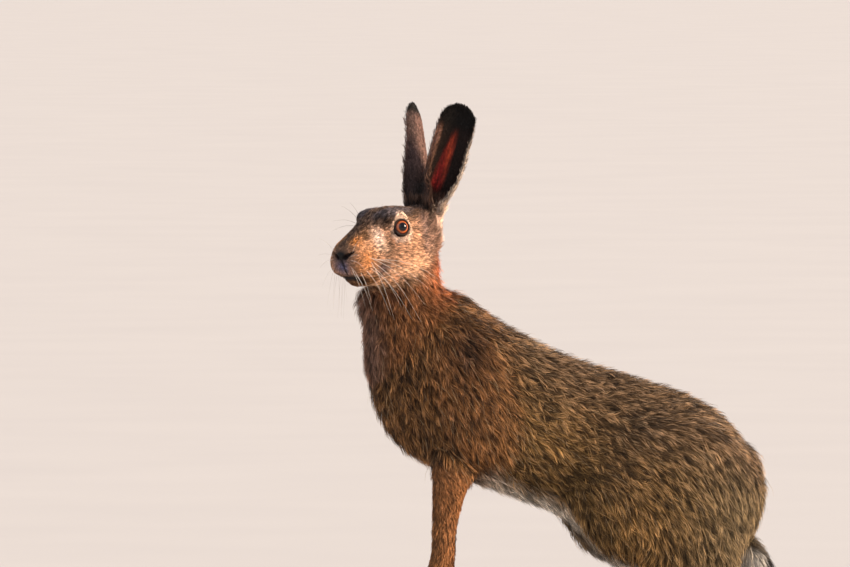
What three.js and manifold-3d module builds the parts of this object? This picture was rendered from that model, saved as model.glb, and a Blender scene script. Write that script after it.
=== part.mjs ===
// A brown hare sitting up alert, as a life-size still model.
// Millimetres, +Z up. The hare faces -X and its left side faces -Y. The group's origin is on the
// floor under the middle of the model. Every surface is the outside of the coat, not the bare skin.

import * as THREE from "three";
import { mergeVertices } from "three/addons/utils/BufferGeometryUtils.js";
import Module from "manifold-3d";

const wasm = await Module();
wasm.setup();

const { Vector3, Matrix4, Euler, Quaternion } = THREE;

// Driving sizes
const HEAD_LENGTH = 118; // back of the skull to the tip of the nose
const HEAD_PLACE = [-125, 8, 378]; // the back of the skull, which the head turns about
const HEAD_TURN = 33; // degrees towards the hare's left
const HEAD_DIP = 9; // degrees nose down
const HEAD_ROLL = 0; // degrees, left side down
const EYE_RADIUS = 9.6;
const EYE_AHEAD = 55; // the eye's centre, ahead of the back of the skull
const EYE_UP = 12.5;
const EYE_OUT = 20.8;
const EYE_FORWARD_TURN = 18; // degrees that the eye looks ahead of straight out to the side
const EYE_UP_TURN = 8; // degrees that it looks up
const EAR_LENGTH = 128; // from its root in the skull to the tip
const FOREFOOT_WIDTH = 27;
const HINDFOOT_WIDTH = 34;
const SEAM = 0.3; // gap kept between neighbouring parts
const WELD = 0.005; // corners closer than this are one corner
const WIDE = 1200; // larger than the whole model

const LEFT = -1;
const RIGHT = 1;
const degrees = THREE.MathUtils.degToRad;

// Solids: closed geometry to a manifold solid and back

function solidOf(geometry, matrix = new Matrix4()) {
  const bare = new THREE.BufferGeometry();
  bare.setAttribute("position", geometry.getAttribute("position").clone());
  if (geometry.index) bare.setIndex(geometry.index.clone());
  const welded = weld(bare.applyMatrix4(matrix), 1e-4);
  const corners = welded.index.array;
  const build = (triVerts) =>
    new wasm.Manifold(
      new wasm.Mesh({ numProp: 3, vertProperties: welded.attributes.position.array, triVerts }),
    );
  const made = build(corners);
  if (made.volume() > 0) return made;
  return build(corners.map((corner, i) => corners[[0, 2, 1][i % 3] + i - (i % 3)]));
}

// Joins corners closer than the tolerance and drops the faces that this closes up.
function weld(geometry, tolerance) {
  const merged = mergeVertices(geometry, tolerance);
  const kept = [];
  const corners = merged.index.array;
  for (let i = 0; i < corners.length; i += 3) {
    const [a, b, c] = corners.slice(i, i + 3);
    if (a !== b && b !== c && c !== a) kept.push(a, b, c);
  }
  merged.setIndex(new THREE.BufferAttribute(new Uint32Array(kept), 1));
  return merged;
}

function largest(solid) {
  const pieces = solid.decompose();
  return pieces.reduce((best, piece) => (piece.volume() > best.volume() ? piece : best));
}

function geometryOf(solid) {
  const mesh = largest(solid).getMesh();
  const geometry = new THREE.BufferGeometry();
  geometry.setAttribute("position", new THREE.BufferAttribute(new Float32Array(mesh.vertProperties), 3));
  geometry.setIndex(new THREE.BufferAttribute(new Uint32Array(mesh.triVerts), 1));
  const welded = weld(geometry, WELD);
  welded.computeVertexNormals();
  return welded;
}

// A block that fills everything on the side of a plane that the normal points to.
function halfSpace(point, normal) {
  const direction = new Vector3(...normal).normalize();
  const turn = new Quaternion().setFromUnitVectors(new Vector3(0, 0, 1), direction);
  const centre = new Vector3(...point).addScaledVector(direction, WIDE / 2);
  const place = new Matrix4().compose(centre, turn, new Vector3(1, 1, 1));
  return solidOf(new THREE.BoxGeometry(WIDE, WIDE, WIDE), place);
}

// A side-view outline in X and Z, carried across from one Y to another.
function sidePrism(outline, fromY, toY) {
  const flat = new THREE.Shape(outline.map(([x, z]) => new THREE.Vector2(x, z)));
  const block = new THREE.ExtrudeGeometry(flat, { depth: toY - fromY, bevelEnabled: false, steps: 1 });
  const alongY = new Matrix4().makeRotationX(Math.PI / 2);
  return solidOf(block, new Matrix4().makeTranslation(0, toY, 0).multiply(alongY));
}

// Flesh: ribs joined by splines, with swellings and hollows blended in

function smoothMin(a, b, blend) {
  const share = Math.max(blend - Math.abs(a - b), 0) / blend;
  return Math.min(a, b) - (share * share * blend) / 4;
}

// A swelling or hollow is an ellipsoid: at, radii, its turn about Y in degrees, and how far it blends.
function ellipsoid(at, radii, tilt, blend) {
  const back = new Matrix4().makeRotationY(-degrees(tilt));
  return { centre: new Vector3(...at), radii: new Vector3(...radii), back, blend };
}

// The same ellipsoid on both sides, its Y given as a distance out from the middle.
function pair(at, radii, tilt, blend) {
  return [LEFT, RIGHT].map((side) => ellipsoid([at[0], side * at[1], at[2]], radii, tilt, blend));
}

function ellipsoidDistance(point, form) {
  const local = point.clone().sub(form.centre).applyMatrix4(form.back);
  const nearness = local.clone().divide(form.radii).length();
  const steepness = local.divide(form.radii).divide(form.radii).length();
  return steepness < 1e-9 ? -form.radii.x : (nearness * (nearness - 1)) / steepness;
}

function splineOf(points) {
  const curve = new THREE.CatmullRomCurve3(points, false, "catmullrom", 0.5);
  return (share) => curve.getPoint(share);
}

const power = (value, exponent) => Math.sign(value) * Math.abs(value) ** exponent;

// A closed body through ribs. Each rib has a top and an under point in the side view, a half width,
// its distance off the middle plane, and pear, the share by which it widens towards the under side.
// domes are how far the two ends bulge. grow moves the whole surface out.
function flesh(form, grow = 0) {
  const { ribs, rings, around, domes, domeRings = 4, domeSquare = 2 } = form;
  const { swellings = [], hollows = [], even = (s) => s } = form;
  const tops = splineOf(ribs.map((rib) => new Vector3(rib.top[0], rib.off ?? 0, rib.top[1])));
  const unders = splineOf(ribs.map((rib) => new Vector3(rib.under[0], rib.off ?? 0, rib.under[1])));
  const widths = splineOf(ribs.map((rib) => new Vector3(rib.half, rib.pear ?? 0, rib.square ?? 2)));

  function ribAt(share) {
    const [top, under, width] = [tops(share), unders(share), widths(share)];
    const centre = top.clone().add(under).multiplyScalar(0.5);
    return { centre, up: top.sub(centre), half: width.x, pear: width.y, square: width.z };
  }

  function rimPoint(rib, angle, scale) {
    const exponent = 2 / rib.square;
    const rise = power(Math.cos(angle), exponent);
    const out = power(Math.sin(angle), exponent) * rib.half * (1 - rib.pear * rise);
    return rib.up.clone().multiplyScalar(rise * scale).add(new Vector3(0, out * scale, 0));
  }

  function onSurface(origin, offset) {
    const reach = offset.length();
    const direction = offset.clone().normalize();
    const field = (distance) => {
      const point = origin.clone().addScaledVector(direction, distance);
      let value = distance - reach;
      for (const lump of swellings) value = smoothMin(value, ellipsoidDistance(point, lump), lump.blend);
      for (const dip of hollows) value = -smoothMin(-value, ellipsoidDistance(point, dip), dip.blend);
      return value - grow;
    };
    const step = field(reach) < 0 ? 1 : -1;
    let near = reach;
    while (field(near + step) * step < 0 && Math.abs(near - reach) < 150 && near + step > 0.5) near += step;
    let far = near + step;
    for (let i = 0; i < 14; i++) {
      const middle = (near + far) / 2;
      if (field(middle) * step < 0) near = middle;
      else far = middle;
    }
    return origin.clone().addScaledVector(direction, (near + far) / 2);
  }

  const rows = [];
  function addDome(share, depth, outward) {
    const rib = ribAt(share);
    const made = [];
    for (let i = 1; i <= domeRings; i++) {
      const turn = (Math.PI / 2) * (i / domeRings);
      const push = outward.clone().multiplyScalar(depth * Math.sin(turn) ** (2 / domeSquare));
      const scale = Math.cos(turn) ** (2 / domeSquare);
      if (i === domeRings) made.push([onSurface(rib.centre, push)]);
      else made.push(ringOf(rib, (angle) => rimPoint(rib, angle, scale).add(push)));
    }
    return made;
  }
  function ringOf(rib, offsetAt) {
    const ring = [];
    for (let i = 0; i < around; i++) {
      ring.push(onSurface(rib.centre, offsetAt((2 * Math.PI * i) / around)));
    }
    return ring;
  }
  const outwardAt = (share, sign) => {
    const rib = ribAt(share);
    const normal = rib.up.clone().cross(new Vector3(0, 1, 0)).normalize();
    const ahead = ribAt(share === 0 ? 0.02 : 1).centre.sub(ribAt(share === 0 ? 0 : 0.98).centre);
    return normal.multiplyScalar(Math.sign(normal.dot(ahead)) * sign);
  };
  rows.push(...addDome(0, domes[0], outwardAt(0, -1)).reverse());
  for (let i = 0; i <= rings; i++) {
    const rib = ribAt(even(i / rings));
    rows.push(ringOf(rib, (angle) => rimPoint(rib, angle, 1)));
  }
  rows.push(...addDome(1, domes[1], outwardAt(1, 1)));
  return solidOf(rowsToGeometry(rows));
}

// Rows of points, each a closed ring or a single pole, sewn into one closed surface.
function rowsToGeometry(rows) {
  const positions = [];
  const starts = [];
  for (const row of rows) {
    starts.push(positions.length / 3);
    for (const point of row) positions.push(point.x, point.y, point.z);
  }
  const faces = [];
  for (let r = 0; r + 1 < rows.length; r++) {
    const [low, high] = [rows[r].length, rows[r + 1].length];
    const count = Math.max(low, high);
    for (let i = 0; i < count; i++) {
      const next = (i + 1) % count;
      const [a, b] = [starts[r] + (i % low), starts[r] + (next % low)];
      const [c, d] = [starts[r + 1] + (i % high), starts[r + 1] + (next % high)];
      if (low > 1) faces.push(a, b, high > 1 ? d : c);
      if (high > 1) faces.push(a, d, c);
    }
  }
  const geometry = new THREE.BufferGeometry();
  geometry.setAttribute("position", new THREE.Float32BufferAttribute(positions, 3));
  geometry.setIndex(faces);
  return geometry;
}

// Trunk and neck, one surface from the rump to the throat, parted afterwards

const TRUNK = {
  ribs: [
    { top: [202, 169], under: [197, 62], half: 44, pear: 0.1 }, // rump
    { top: [180, 196], under: [170, 34], half: 58, pear: 0.14 }, // croup
    { top: [142, 218], under: [122, 24], half: 64, pear: 0.18 }, // haunch
    { top: [98, 233], under: [72, 44], half: 62, pear: 0.18 }, // loin
    { top: [50, 247], under: [20, 84], half: 58, pear: 0.14 }, // waist
    { top: [4, 264], under: [-32, 106], half: 54, pear: 0.1 }, // ribs
    { top: [-34, 284], under: [-88, 126], half: 51, pear: 0.05 }, // chest
    { top: [-64, 302], under: [-145, 151], half: 49 }, // withers
    { top: [-86, 313], under: [-176, 189], half: 46 }, // breast
    { top: [-101, 321], under: [-189, 234], half: 42 }, // foot of the neck
    { top: [-109, 331], under: [-192, 280], half: 39 }, // neck
    { top: [-113, 352], under: [-193, 315], half: 34, off: -3 }, // throat
    { top: [-119, 370], under: [-172, 342], half: 25, off: -6 }, // under the skull
  ],
  rings: 34,
  around: 32,
  domes: [25, 8],
  swellings: [
    ...pair([120, 42, 108], [84, 34, 82], 0, 30), // thigh
    ...pair([58, 50, 90], [32, 20, 42], -18, 30), // knee
    ...pair([156, 46, 48], [34, 20, 28], 0, 24), // hock, folded under the thigh
    ...pair([-84, 32, 232], [36, 20, 66], -24, 24), // shoulder
    ...pair([-90, 34, 170], [28, 16, 34], 10, 22), // elbow
  ],
};
const NECK_CUT = { at: [-141, 0, 274], normal: [-0.72, 0, 0.69] };
const THIGH = { centre: [118, 108], radii: [82, 84], inner: 33 };
const SHOULDER = { centre: [-86, 214], radii: [38, 74], lean: 20, inner: 26 };

function ellipseOutline({ centre, radii, lean = 0 }, grow = 0) {
  const turn = degrees(lean);
  const [wide, high] = radii.map((radius) => radius + grow);
  const curve = new THREE.EllipseCurve(...centre, wide, high, 0, 2 * Math.PI, false, turn);
  return curve.getPoints(40).slice(0, -1).map((point) => [point.x, point.y]);
}

function sideRegion(region, side, grow = 0) {
  const [near, far] = [region.inner - grow, WIDE / 2];
  const [from, to] = side === LEFT ? [-far, -near] : [near, far];
  return sidePrism(ellipseOutline(region, grow), from, to);
}

// Legs

function forelegRibs(side, ahead) {
  const rib = (front, back, half, off) => ({
    top: [front[0] - ahead, front[1]],
    under: [back[0] - ahead, back[1]],
    half,
    off: side * off,
  });
  const half = FOREFOOT_WIDTH / 2;
  return [
    rib([-114, 190], [-70, 194], half * 0.9, 30), // inside the chest
    rib([-117, 158], [-68, 152], half * 1.12, 30), // elbow
    rib([-117, 122], [-80, 118], half * 1.02, 29), // forearm
    rib([-117, 84], [-90, 81], half * 0.86, 27.5), // shin
    rib([-118, 54], [-92, 49], half * 0.9, 27), // wrist
    rib([-124, 33], [-97, 20], half * 0.94, 27), // pastern
    rib([-136, 23], [-112, -5], half, 27.5), // knuckles
    rib([-150, 15], [-137, -6], half * 0.94, 28), // toes
  ];
}

const FOREFOOT_TOES = [-0.66, -0.24, 0.24, 0.66]; // across the foot, as shares of its half width
function foreleg(side, ahead, grow = 0) {
  const middle = side * 28;
  const half = FOREFOOT_WIDTH / 2;
  const toes = FOREFOOT_TOES.map((share) => {
    const reach = 5 * (1 - share * share);
    return ellipsoid([-146 - ahead - reach, middle + share * half, 7], [12, 4.6, 7.5], 0, 2.4);
  });
  const ribs = forelegRibs(side, ahead);
  const form = { ribs, rings: 17, around: 16, domes: [10, 6], domeRings: 2, swellings: toes };
  return flesh(form, grow).intersect(halfSpace([0, 0, 0], [0, 0, 1]));
}

const WRIST_CUT = { at: [-106, 0, 46], normal: [0.1, 0, 1] };
const HINDFOOT_TOES = [-0.7, -0.25, 0.25, 0.7];

function hindfoot(side, grow = 0) {
  const half = HINDFOOT_WIDTH / 2;
  const rib = (x, height, share, off) => ({
    top: [x - 2, height],
    under: [x + 2, -3],
    half: half * share,
    off: side * off,
  });
  const ribs = [
    rib(174, 28, 0.62, 45), // heel
    rib(152, 32, 0.76, 46.5), // hock
    rib(120, 29, 0.8, 49),
    rib(86, 26, 0.9, 52), // ball
    rib(62, 22, 1, 54.5), // knuckles
    rib(45, 15, 0.9, 56), // toes
  ];
  const toes = HINDFOOT_TOES.map((share) => {
    const reach = 6 * (1 - share * share);
    return ellipsoid([44 - reach, side * 56 + share * half, 8], [14, 5.6, 8.5], 0, 3);
  });
  const form = { ribs, rings: 14, around: 16, domes: [8, 6], domeRings: 2, swellings: toes };
  return flesh(form, grow).intersect(halfSpace([0, 0, 0], [0, 0, 1]));
}

// A claw: a short horn bent down from the root to the tip.
function claw(root, length, thick, droop) {
  const sides = 6;
  const steps = 3;
  const rows = [];
  for (let i = 0; i <= steps; i++) {
    const share = i / steps;
    const centre = new Vector3(root.x - length * share, root.y, root.z - droop * share * share);
    const radius = thick * Math.sqrt(1 - share * 0.97) * 0.5;
    const ring = [];
    for (let j = 0; j < sides; j++) {
      const angle = (2 * Math.PI * j) / sides;
      ring.push(centre.clone().add(new Vector3(0, Math.cos(angle) * radius * 0.8, Math.sin(angle) * radius)));
    }
    rows.push(i === 0 ? [centre] : null, i === steps ? [centre] : ring);
  }
  return solidOf(rowsToGeometry(rows.filter(Boolean)));
}

// Tail, a short flattened brush folded down behind the rump

const TAIL = {
  ribs: [
    { top: [202, 84], under: [184, 54], half: 14 }, // root
    { top: [217, 70], under: [192, 38], half: 21 },
    { top: [229, 50], under: [206, 20], half: 25 }, // brush
    { top: [236, 31], under: [221, 8], half: 22 },
    { top: [238, 19], under: [231, 8], half: 12 }, // tip
  ],
  rings: 11,
  around: 16,
  domes: [4, 6],
  domeRings: 3,
};

// Head, in its own frame: the skull's back at the origin, the nose towards -X

const ahead = (u) => -u * (HEAD_LENGTH / 118);
const HEAD = {
  ribs: [
    { top: [ahead(0), 15], under: [ahead(6), -24], half: 20 }, // back of the skull
    { top: [ahead(13), 26], under: [ahead(20), -34], half: 25, pear: 0.05, square: 2.2 },
    { top: [ahead(32), 30.5], under: [ahead(38), -40], half: 26, pear: 0.08, square: 2.4 }, // crown
    { top: [ahead(52), 31.5], under: [ahead(58), -43], half: 25, pear: 0.12, square: 2.3 }, // eyes
    { top: [ahead(68), 30], under: [ahead(74), -43], half: 24, pear: 0.1, square: 2.4 }, // cheek
    { top: [ahead(83), 25], under: [ahead(87), -42], half: 21.5, pear: 0.1, square: 2.5 }, // bridge
    { top: [ahead(97), 17.5], under: [ahead(96), -39.5], half: 20, pear: 0.08, square: 2.5 }, // muzzle
    { top: [ahead(109), 10], under: [ahead(104), -35], half: 18, square: 2.5 }, // nose
  ],
  rings: 28,
  around: 36,
  domes: [9, 9.5],
  domeRings: 6,
  domeSquare: 2.5,
  even: (s) => s ** 0.9,
  swellings: [
    ...pair([ahead(55), 13.5, 14], [15, 10.5, 14], 0, 8), // orbit
    ...pair([ahead(60), 16, 22.5], [14, 9, 7.5], 8, 8), // brow
    ...pair([ahead(44), 19, -13], [25, 12, 20], -14, 12), // cheek
    ...pair([ahead(107), 11.5, -15.5], [12.5, 10.5, 12], -6, 6), // whisker pad
    ellipsoid([ahead(108), 0, -5], [12.5, 10.5, 9], 20, 6), // nose
    ellipsoid([ahead(98), 0, -35], [11, 10, 8.5], -8, 5), // chin
    ...pair([ahead(3), 11, 8], [12, 11, 15], -16, 8), // roots of the ears
    ellipsoid([ahead(3), 0, -2], [13, 19, 23], 0, 8), // nape
  ],
  hollows: [
    ...pair([ahead(84), 30, 2], [16, 7, 10], 24, 12), // ahead of the eye
    ...pair([ahead(30), 31, 14], [8, 6, 12], 0, 10), // temple
    ellipsoid([ahead(122), 0, -34], [11, 20, 8.5], -12, 5), // under the lip
  ],
};
const LIP_LINE = [[124, -23], [116, -24], [110, -27], [105, -30.5], [101, -33.5]];
const LIP_GAP = 1.1;
const FACE_CUT_DEPTH = 2.8; // of the line of the mouth, the philtrum and the nostrils
const NOSTRIL = { centre: [8.6, -3.8], radii: [7, 1.7], lean: 30 };
const PHILTRUM = { halfWidth: 0.55, low: -23.4, high: -9 };
const LID = { radius: 8.2, thick: 1.5, wide: 1.06, high: 0.94, raised: 0.3 };

const eyeCentre = (side) => new Vector3(ahead(EYE_AHEAD), side * EYE_OUT, EYE_UP);
function eyeAxis(side) {
  const [forward, up] = [degrees(EYE_FORWARD_TURN), degrees(EYE_UP_TURN)];
  const level = Math.cos(up);
  return new Vector3(-Math.sin(forward) * level, side * Math.cos(forward) * level, Math.sin(up));
}

// Turns and places a shape that lies in the XY plane so that it faces along the eye's axis.
function facingOut(side, distance) {
  const axis = eyeAxis(side);
  const across = new Vector3(0, 0, 1).cross(axis).normalize();
  const up = axis.clone().cross(across);
  const place = eyeCentre(side).addScaledVector(axis, distance);
  return new Matrix4().makeBasis(across, up, axis).setPosition(place);
}

function eyeball(side, grow = 0) {
  const ball = new THREE.SphereGeometry(EYE_RADIUS + grow, 18, 10).rotateX(Math.PI / 2);
  return solidOf(ball, facingOut(side, 0));
}

function lids(side) {
  const ring = new THREE.TorusGeometry(LID.radius, LID.thick, 7, 24).scale(LID.wide, LID.high, 1);
  return solidOf(ring, facingOut(side, Math.sqrt(EYE_RADIUS ** 2 - LID.radius ** 2) + LID.raised));
}

// A line along points in the side view, as thick as the gap.
function lineOutline(points, gap) {
  const curve = new THREE.SplineCurve(points.map(([u, w]) => new THREE.Vector2(ahead(u), w)));
  const line = curve.getPoints(12);
  const shifted = (sign) => line.map((point, i) => {
    const tangent = curve.getTangent(i / 12);
    return [point.x - (sign * tangent.y * gap) / 2, point.y + (sign * tangent.x * gap) / 2];
  });
  return [...shifted(1), ...shifted(-1).reverse()];
}

function makeHead() {
  const deep = flesh(HEAD, -FACE_CUT_DEPTH);
  const front = halfSpace([ahead(88), 0, 0], [-1, 0, 0]);
  const mouth = sidePrism(lineOutline(LIP_LINE, LIP_GAP), -40, 40);
  const philtrum = solidOf(
    new THREE.BoxGeometry(60, 2 * PHILTRUM.halfWidth, PHILTRUM.high - PHILTRUM.low),
    new Matrix4().makeTranslation(ahead(118), 0, (PHILTRUM.high + PHILTRUM.low) / 2),
  );
  let cuts = mouth.add(philtrum);
  for (const side of [LEFT, RIGHT]) {
    const { centre, radii, lean } = NOSTRIL;
    const slit = new THREE.Shape();
    slit.absellipse(side * centre[0], centre[1], ...radii, 0, 2 * Math.PI, false, side * degrees(lean));
    const block = new THREE.ExtrudeGeometry(slit, { depth: 40, bevelEnabled: false, curveSegments: 6 });
    const alongX = new Matrix4().makeBasis(new Vector3(0, 1, 0), new Vector3(0, 0, 1), new Vector3(1, 0, 0));
    cuts = cuts.add(solidOf(block, alongX.setPosition(ahead(130), 0, 0)));
  }
  let head = flesh(HEAD).subtract(cuts.intersect(front).subtract(deep));
  for (const side of [LEFT, RIGHT]) head = head.add(lids(side)).subtract(eyeball(side, SEAM));
  return largest(head);
}

// Ears: a curled sheet, nearly a tube at the root and an open cup above

const EAR = {
  root: [2.5, 8.5, 4], // ahead, out and up from the back of the skull
  rise: [-40, 26, 118], // the way the ear points, ahead, out and up
  openTo: [72, 54], // degrees outwards from straight ahead that the cup faces, at the root and at the tip
  bow: 4, // how far the middle of the ear bows back
  thick: 3.4,
  rim: 1.9,
  rings: 20,
  across: 10,
  // share of the length, radius of the curl and half its angle in degrees
  curl: [
    [0, 8.5, 168],
    [0.16, 9.5, 160],
    [0.27, 12.5, 128],
    [0.37, 16.5, 100],
    [0.5, 19.5, 80],
    [0.7, 21.5, 66],
    [0.87, 21.5, 60],
    [1, 21.5, 56],
  ],
  tipStart: 0.84, // where the rounded tip begins
};

function earCurl(share) {
  const rows = EAR.curl;
  let i = 0;
  while (i + 2 < rows.length && share > rows[i + 1][0]) i++;
  const [a, b] = [rows[i], rows[i + 1]];
  const mix = (share - a[0]) / (b[0] - a[0]);
  const eased = mix * mix * (3 - 2 * mix);
  const intoTip = Math.max(share - EAR.tipStart, 0) / (1 - EAR.tipStart);
  const rounding = Math.sqrt(Math.max(1 - intoTip ** 2, 0));
  const angle = degrees(a[2] + (b[2] - a[2]) * (mix * 0.6 + eased * 0.4)) * Math.max(rounding, 0.12);
  return { radius: a[1] + (b[1] - a[1]) * mix, angle };
}

function ear(side) {
  const rise = new Vector3(ahead(EAR.rise[0]), side * EAR.rise[1], EAR.rise[2]).normalize();
  const root = new Vector3(ahead(EAR.root[0]), side * EAR.root[1], EAR.root[2]);
  const rows = [];
  for (let i = 0; i <= EAR.rings; i++) {
    const share = 1 - (1 - i / EAR.rings) ** 1.25;
    const { radius, angle } = earCurl(share);
    const turn = degrees(THREE.MathUtils.lerp(...EAR.openTo, share));
    const facing = new Vector3(-Math.cos(turn), side * Math.sin(turn), 0);
    const open = facing.addScaledVector(rise, -facing.dot(rise)).normalize();
    const across = rise.clone().cross(open);
    const back = (radius * (1 - Math.cos(angle))) / 2 + EAR.bow * Math.sin(Math.PI * share);
    const spine = root.clone().addScaledVector(rise, share * EAR_LENGTH).addScaledVector(open, -back);
    const axis = spine.addScaledVector(open, radius);
    const at = (spread, distance) =>
      axis.clone()
        .addScaledVector(open, -Math.cos(spread) * distance)
        .addScaledVector(across, Math.sin(spread) * distance);
    const outer = [];
    const inner = [];
    for (let j = 0; j <= EAR.across; j++) {
      const spread = (2 * j) / EAR.across - 1;
      const half = (EAR.thick + (EAR.rim - EAR.thick) * spread * spread) / 2;
      outer.push(at(spread * angle, radius + half));
      inner.push(at(spread * angle, radius - half));
    }
    rows.push([...outer, ...inner.reverse()]);
  }
  return sheetSolid(rows);
}

// The ends of a curled sheet are strips between its outer and inner lines.
function sheetSolid(rows) {
  const geometry = rowsToGeometry(rows);
  const faces = Array.from(geometry.index.array);
  const count = rows[0].length;
  const lastStart = (rows.length - 1) * count;
  for (let j = 0; j + 1 < count / 2; j++) {
    const [a, b, c, d] = [j, j + 1, count - 2 - j, count - 1 - j];
    faces.push(a, c, b, a, d, c);
    faces.push(lastStart + a, lastStart + b, lastStart + c, lastStart + a, lastStart + c, lastStart + d);
  }
  geometry.setIndex(faces);
  return solidOf(geometry);
}

// Assembly

const fur = (color) => new THREE.MeshStandardMaterial({ color, roughness: 0.95, metalness: 0 });
const MATERIALS = {
  back: fur(0x6d5440),
  breast: fur(0x8a5a3a),
  face: fur(0x8f6b48),
  ears: fur(0x5d4a3c),
  legs: fur(0x9a7048),
  tail: fur(0xd9d2c6),
  eye: new THREE.MeshStandardMaterial({ color: 0x9c5420, roughness: 0.08, metalness: 0 }),
  claw: new THREE.MeshStandardMaterial({ color: 0x2e2520, roughness: 0.45, metalness: 0 }),
};

function meshOf(name, solid, material) {
  const mesh = new THREE.Mesh(geometryOf(solid), material);
  mesh.name = name;
  return mesh;
}

const hare = new THREE.Group();

// The head group carries the head, ears and eyes.
const headGroup = new THREE.Group();
headGroup.position.set(...HEAD_PLACE);
headGroup.rotation.copy(new Euler(degrees(-HEAD_ROLL), degrees(-HEAD_DIP), degrees(HEAD_TURN), "ZYX"));
headGroup.updateMatrix();
hare.add(headGroup);
headGroup.add(meshOf("head", makeHead(), MATERIALS.face));
const headRoom = flesh(HEAD, SEAM);
for (const side of [LEFT, RIGHT]) {
  const name = side === LEFT ? "left" : "right";
  headGroup.add(meshOf("ear_" + name, ear(side).subtract(headRoom), MATERIALS.ears));
  headGroup.add(meshOf("eye_" + name, eyeball(side), MATERIALS.eye));
}

const whole = flesh(TRUNK);
const wholeRoom = flesh(TRUNK, SEAM);
const headSpace = headRoom.transform(headGroup.matrix.elements);
const cutNormal = new Vector3(...NECK_CUT.normal).normalize();
const cutPoint = (shift) => new Vector3(...NECK_CUT.at).addScaledVector(cutNormal, shift).toArray();
const neck = whole.intersect(halfSpace(cutPoint(SEAM / 2), cutNormal.toArray())).subtract(headSpace);
const behindNeck = whole.intersect(halfSpace(cutPoint(-SEAM / 2), cutNormal.clone().negate().toArray()));
hare.add(meshOf("neck", neck, MATERIALS.breast));

const LIMBS_ON_TRUNK = [
  ["shoulder", SHOULDER, MATERIALS.breast],
  ["thigh", THIGH, MATERIALS.back],
];
let torso = behindNeck;
for (const side of [LEFT, RIGHT]) {
  const name = side === LEFT ? "left" : "right";
  for (const [part, region, material] of LIMBS_ON_TRUNK) {
    hare.add(meshOf(part + "_" + name, behindNeck.intersect(sideRegion(region, side)), material));
    torso = torso.subtract(sideRegion(region, side, SEAM));
  }

  const step = side === LEFT ? 9 : -4; // the left forefoot stands a little ahead of the right
  const leg = foreleg(side, step).subtract(wholeRoom);
  const wristNormal = new Vector3(...WRIST_CUT.normal).normalize();
  const wrist = (shift) => new Vector3(...WRIST_CUT.at).addScaledVector(wristNormal, shift).toArray();
  const upper = leg.intersect(halfSpace(wrist(SEAM / 2), wristNormal.toArray()));
  const lower = leg.intersect(halfSpace(wrist(-SEAM / 2), wristNormal.clone().negate().toArray()));
  hare.add(meshOf("foreleg_" + name, upper, MATERIALS.legs));
  hare.add(meshOf("forefoot_" + name, lower, MATERIALS.legs));
  hare.add(meshOf("hindfoot_" + name, hindfoot(side).subtract(wholeRoom), MATERIALS.legs));

  const forefootRoom = foreleg(side, step, SEAM);
  const hindfootRoom = hindfoot(side, SEAM);
  const half = FOREFOOT_WIDTH / 2;
  FOREFOOT_TOES.forEach((share, i) => {
    const root = new Vector3(-152 - step - 5 * (1 - share * share), side * 28 + share * half, 7);
    const horn = claw(root, 11, 3.4, 3.2).subtract(forefootRoom);
    hare.add(meshOf(`foreclaw_${name}_${i + 1}`, horn, MATERIALS.claw));
  });
  HINDFOOT_TOES.forEach((share, i) => {
    const root = new Vector3(36 - 6 * (1 - share * share), side * 56 + (share * HINDFOOT_WIDTH) / 2, 8);
    const horn = claw(root, 13, 3.8, 4).subtract(hindfootRoom);
    hare.add(meshOf(`hindclaw_${name}_${i + 1}`, horn, MATERIALS.claw));
  });
}
hare.add(meshOf("torso", torso, MATERIALS.back));
hare.add(meshOf("tail", flesh(TAIL).subtract(wholeRoom), MATERIALS.tail));

// The origin goes to the floor under the middle of the box.
hare.updateMatrixWorld(true);
const box = new THREE.Box3().setFromObject(hare, true);
const centre = box.getCenter(new Vector3());
for (const part of hare.children) part.position.sub(new Vector3(centre.x, centre.y, box.min.z));

export default hare;
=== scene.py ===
import math

import bmesh
import bpy
import numpy as np
from mathutils import Euler, Matrix, Vector, kdtree
from mathutils.bvhtree import BVHTree


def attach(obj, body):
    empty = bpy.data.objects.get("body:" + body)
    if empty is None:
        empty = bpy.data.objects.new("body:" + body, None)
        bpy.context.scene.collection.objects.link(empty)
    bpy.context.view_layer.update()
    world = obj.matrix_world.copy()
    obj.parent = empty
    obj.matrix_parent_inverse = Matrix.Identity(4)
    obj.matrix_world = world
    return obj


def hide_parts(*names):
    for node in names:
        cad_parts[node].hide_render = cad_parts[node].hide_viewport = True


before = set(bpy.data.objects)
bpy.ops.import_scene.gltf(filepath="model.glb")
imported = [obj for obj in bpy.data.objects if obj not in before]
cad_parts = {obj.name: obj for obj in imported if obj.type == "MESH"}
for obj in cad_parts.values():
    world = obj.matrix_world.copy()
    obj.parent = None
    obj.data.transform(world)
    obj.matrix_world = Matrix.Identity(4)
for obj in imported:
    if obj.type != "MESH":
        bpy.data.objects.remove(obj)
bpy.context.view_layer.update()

# Floor, light and camera.
# The hare sits on a plain pale floor, under a warm low lamp from its rear left and a cool soft
# sky, and is seen through a long lens from its left side, a little above the floor.
mm = 0.001
VIEW_TURN = math.radians(-12)
VIEW_RISE = math.radians(2)
LENS = 500
FILM_WIDTH = 36
PICTURE_WIDTH = 850 * mm
PICTURE_CENTRE = (-128.4 * mm, 324.5 * mm)
FLOOR_HALF = 400
FLOOR_DROP = 0.2 * mm

to_camera = Vector((
    math.sin(VIEW_TURN) * math.cos(VIEW_RISE),
    -math.cos(VIEW_TURN) * math.cos(VIEW_RISE),
    math.sin(VIEW_RISE),
))
picture_right = Vector((math.cos(VIEW_TURN), math.sin(VIEW_TURN), 0))
picture_up = to_camera.cross(picture_right)
centre = picture_right * PICTURE_CENTRE[0] + picture_up * PICTURE_CENTRE[1]

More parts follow.
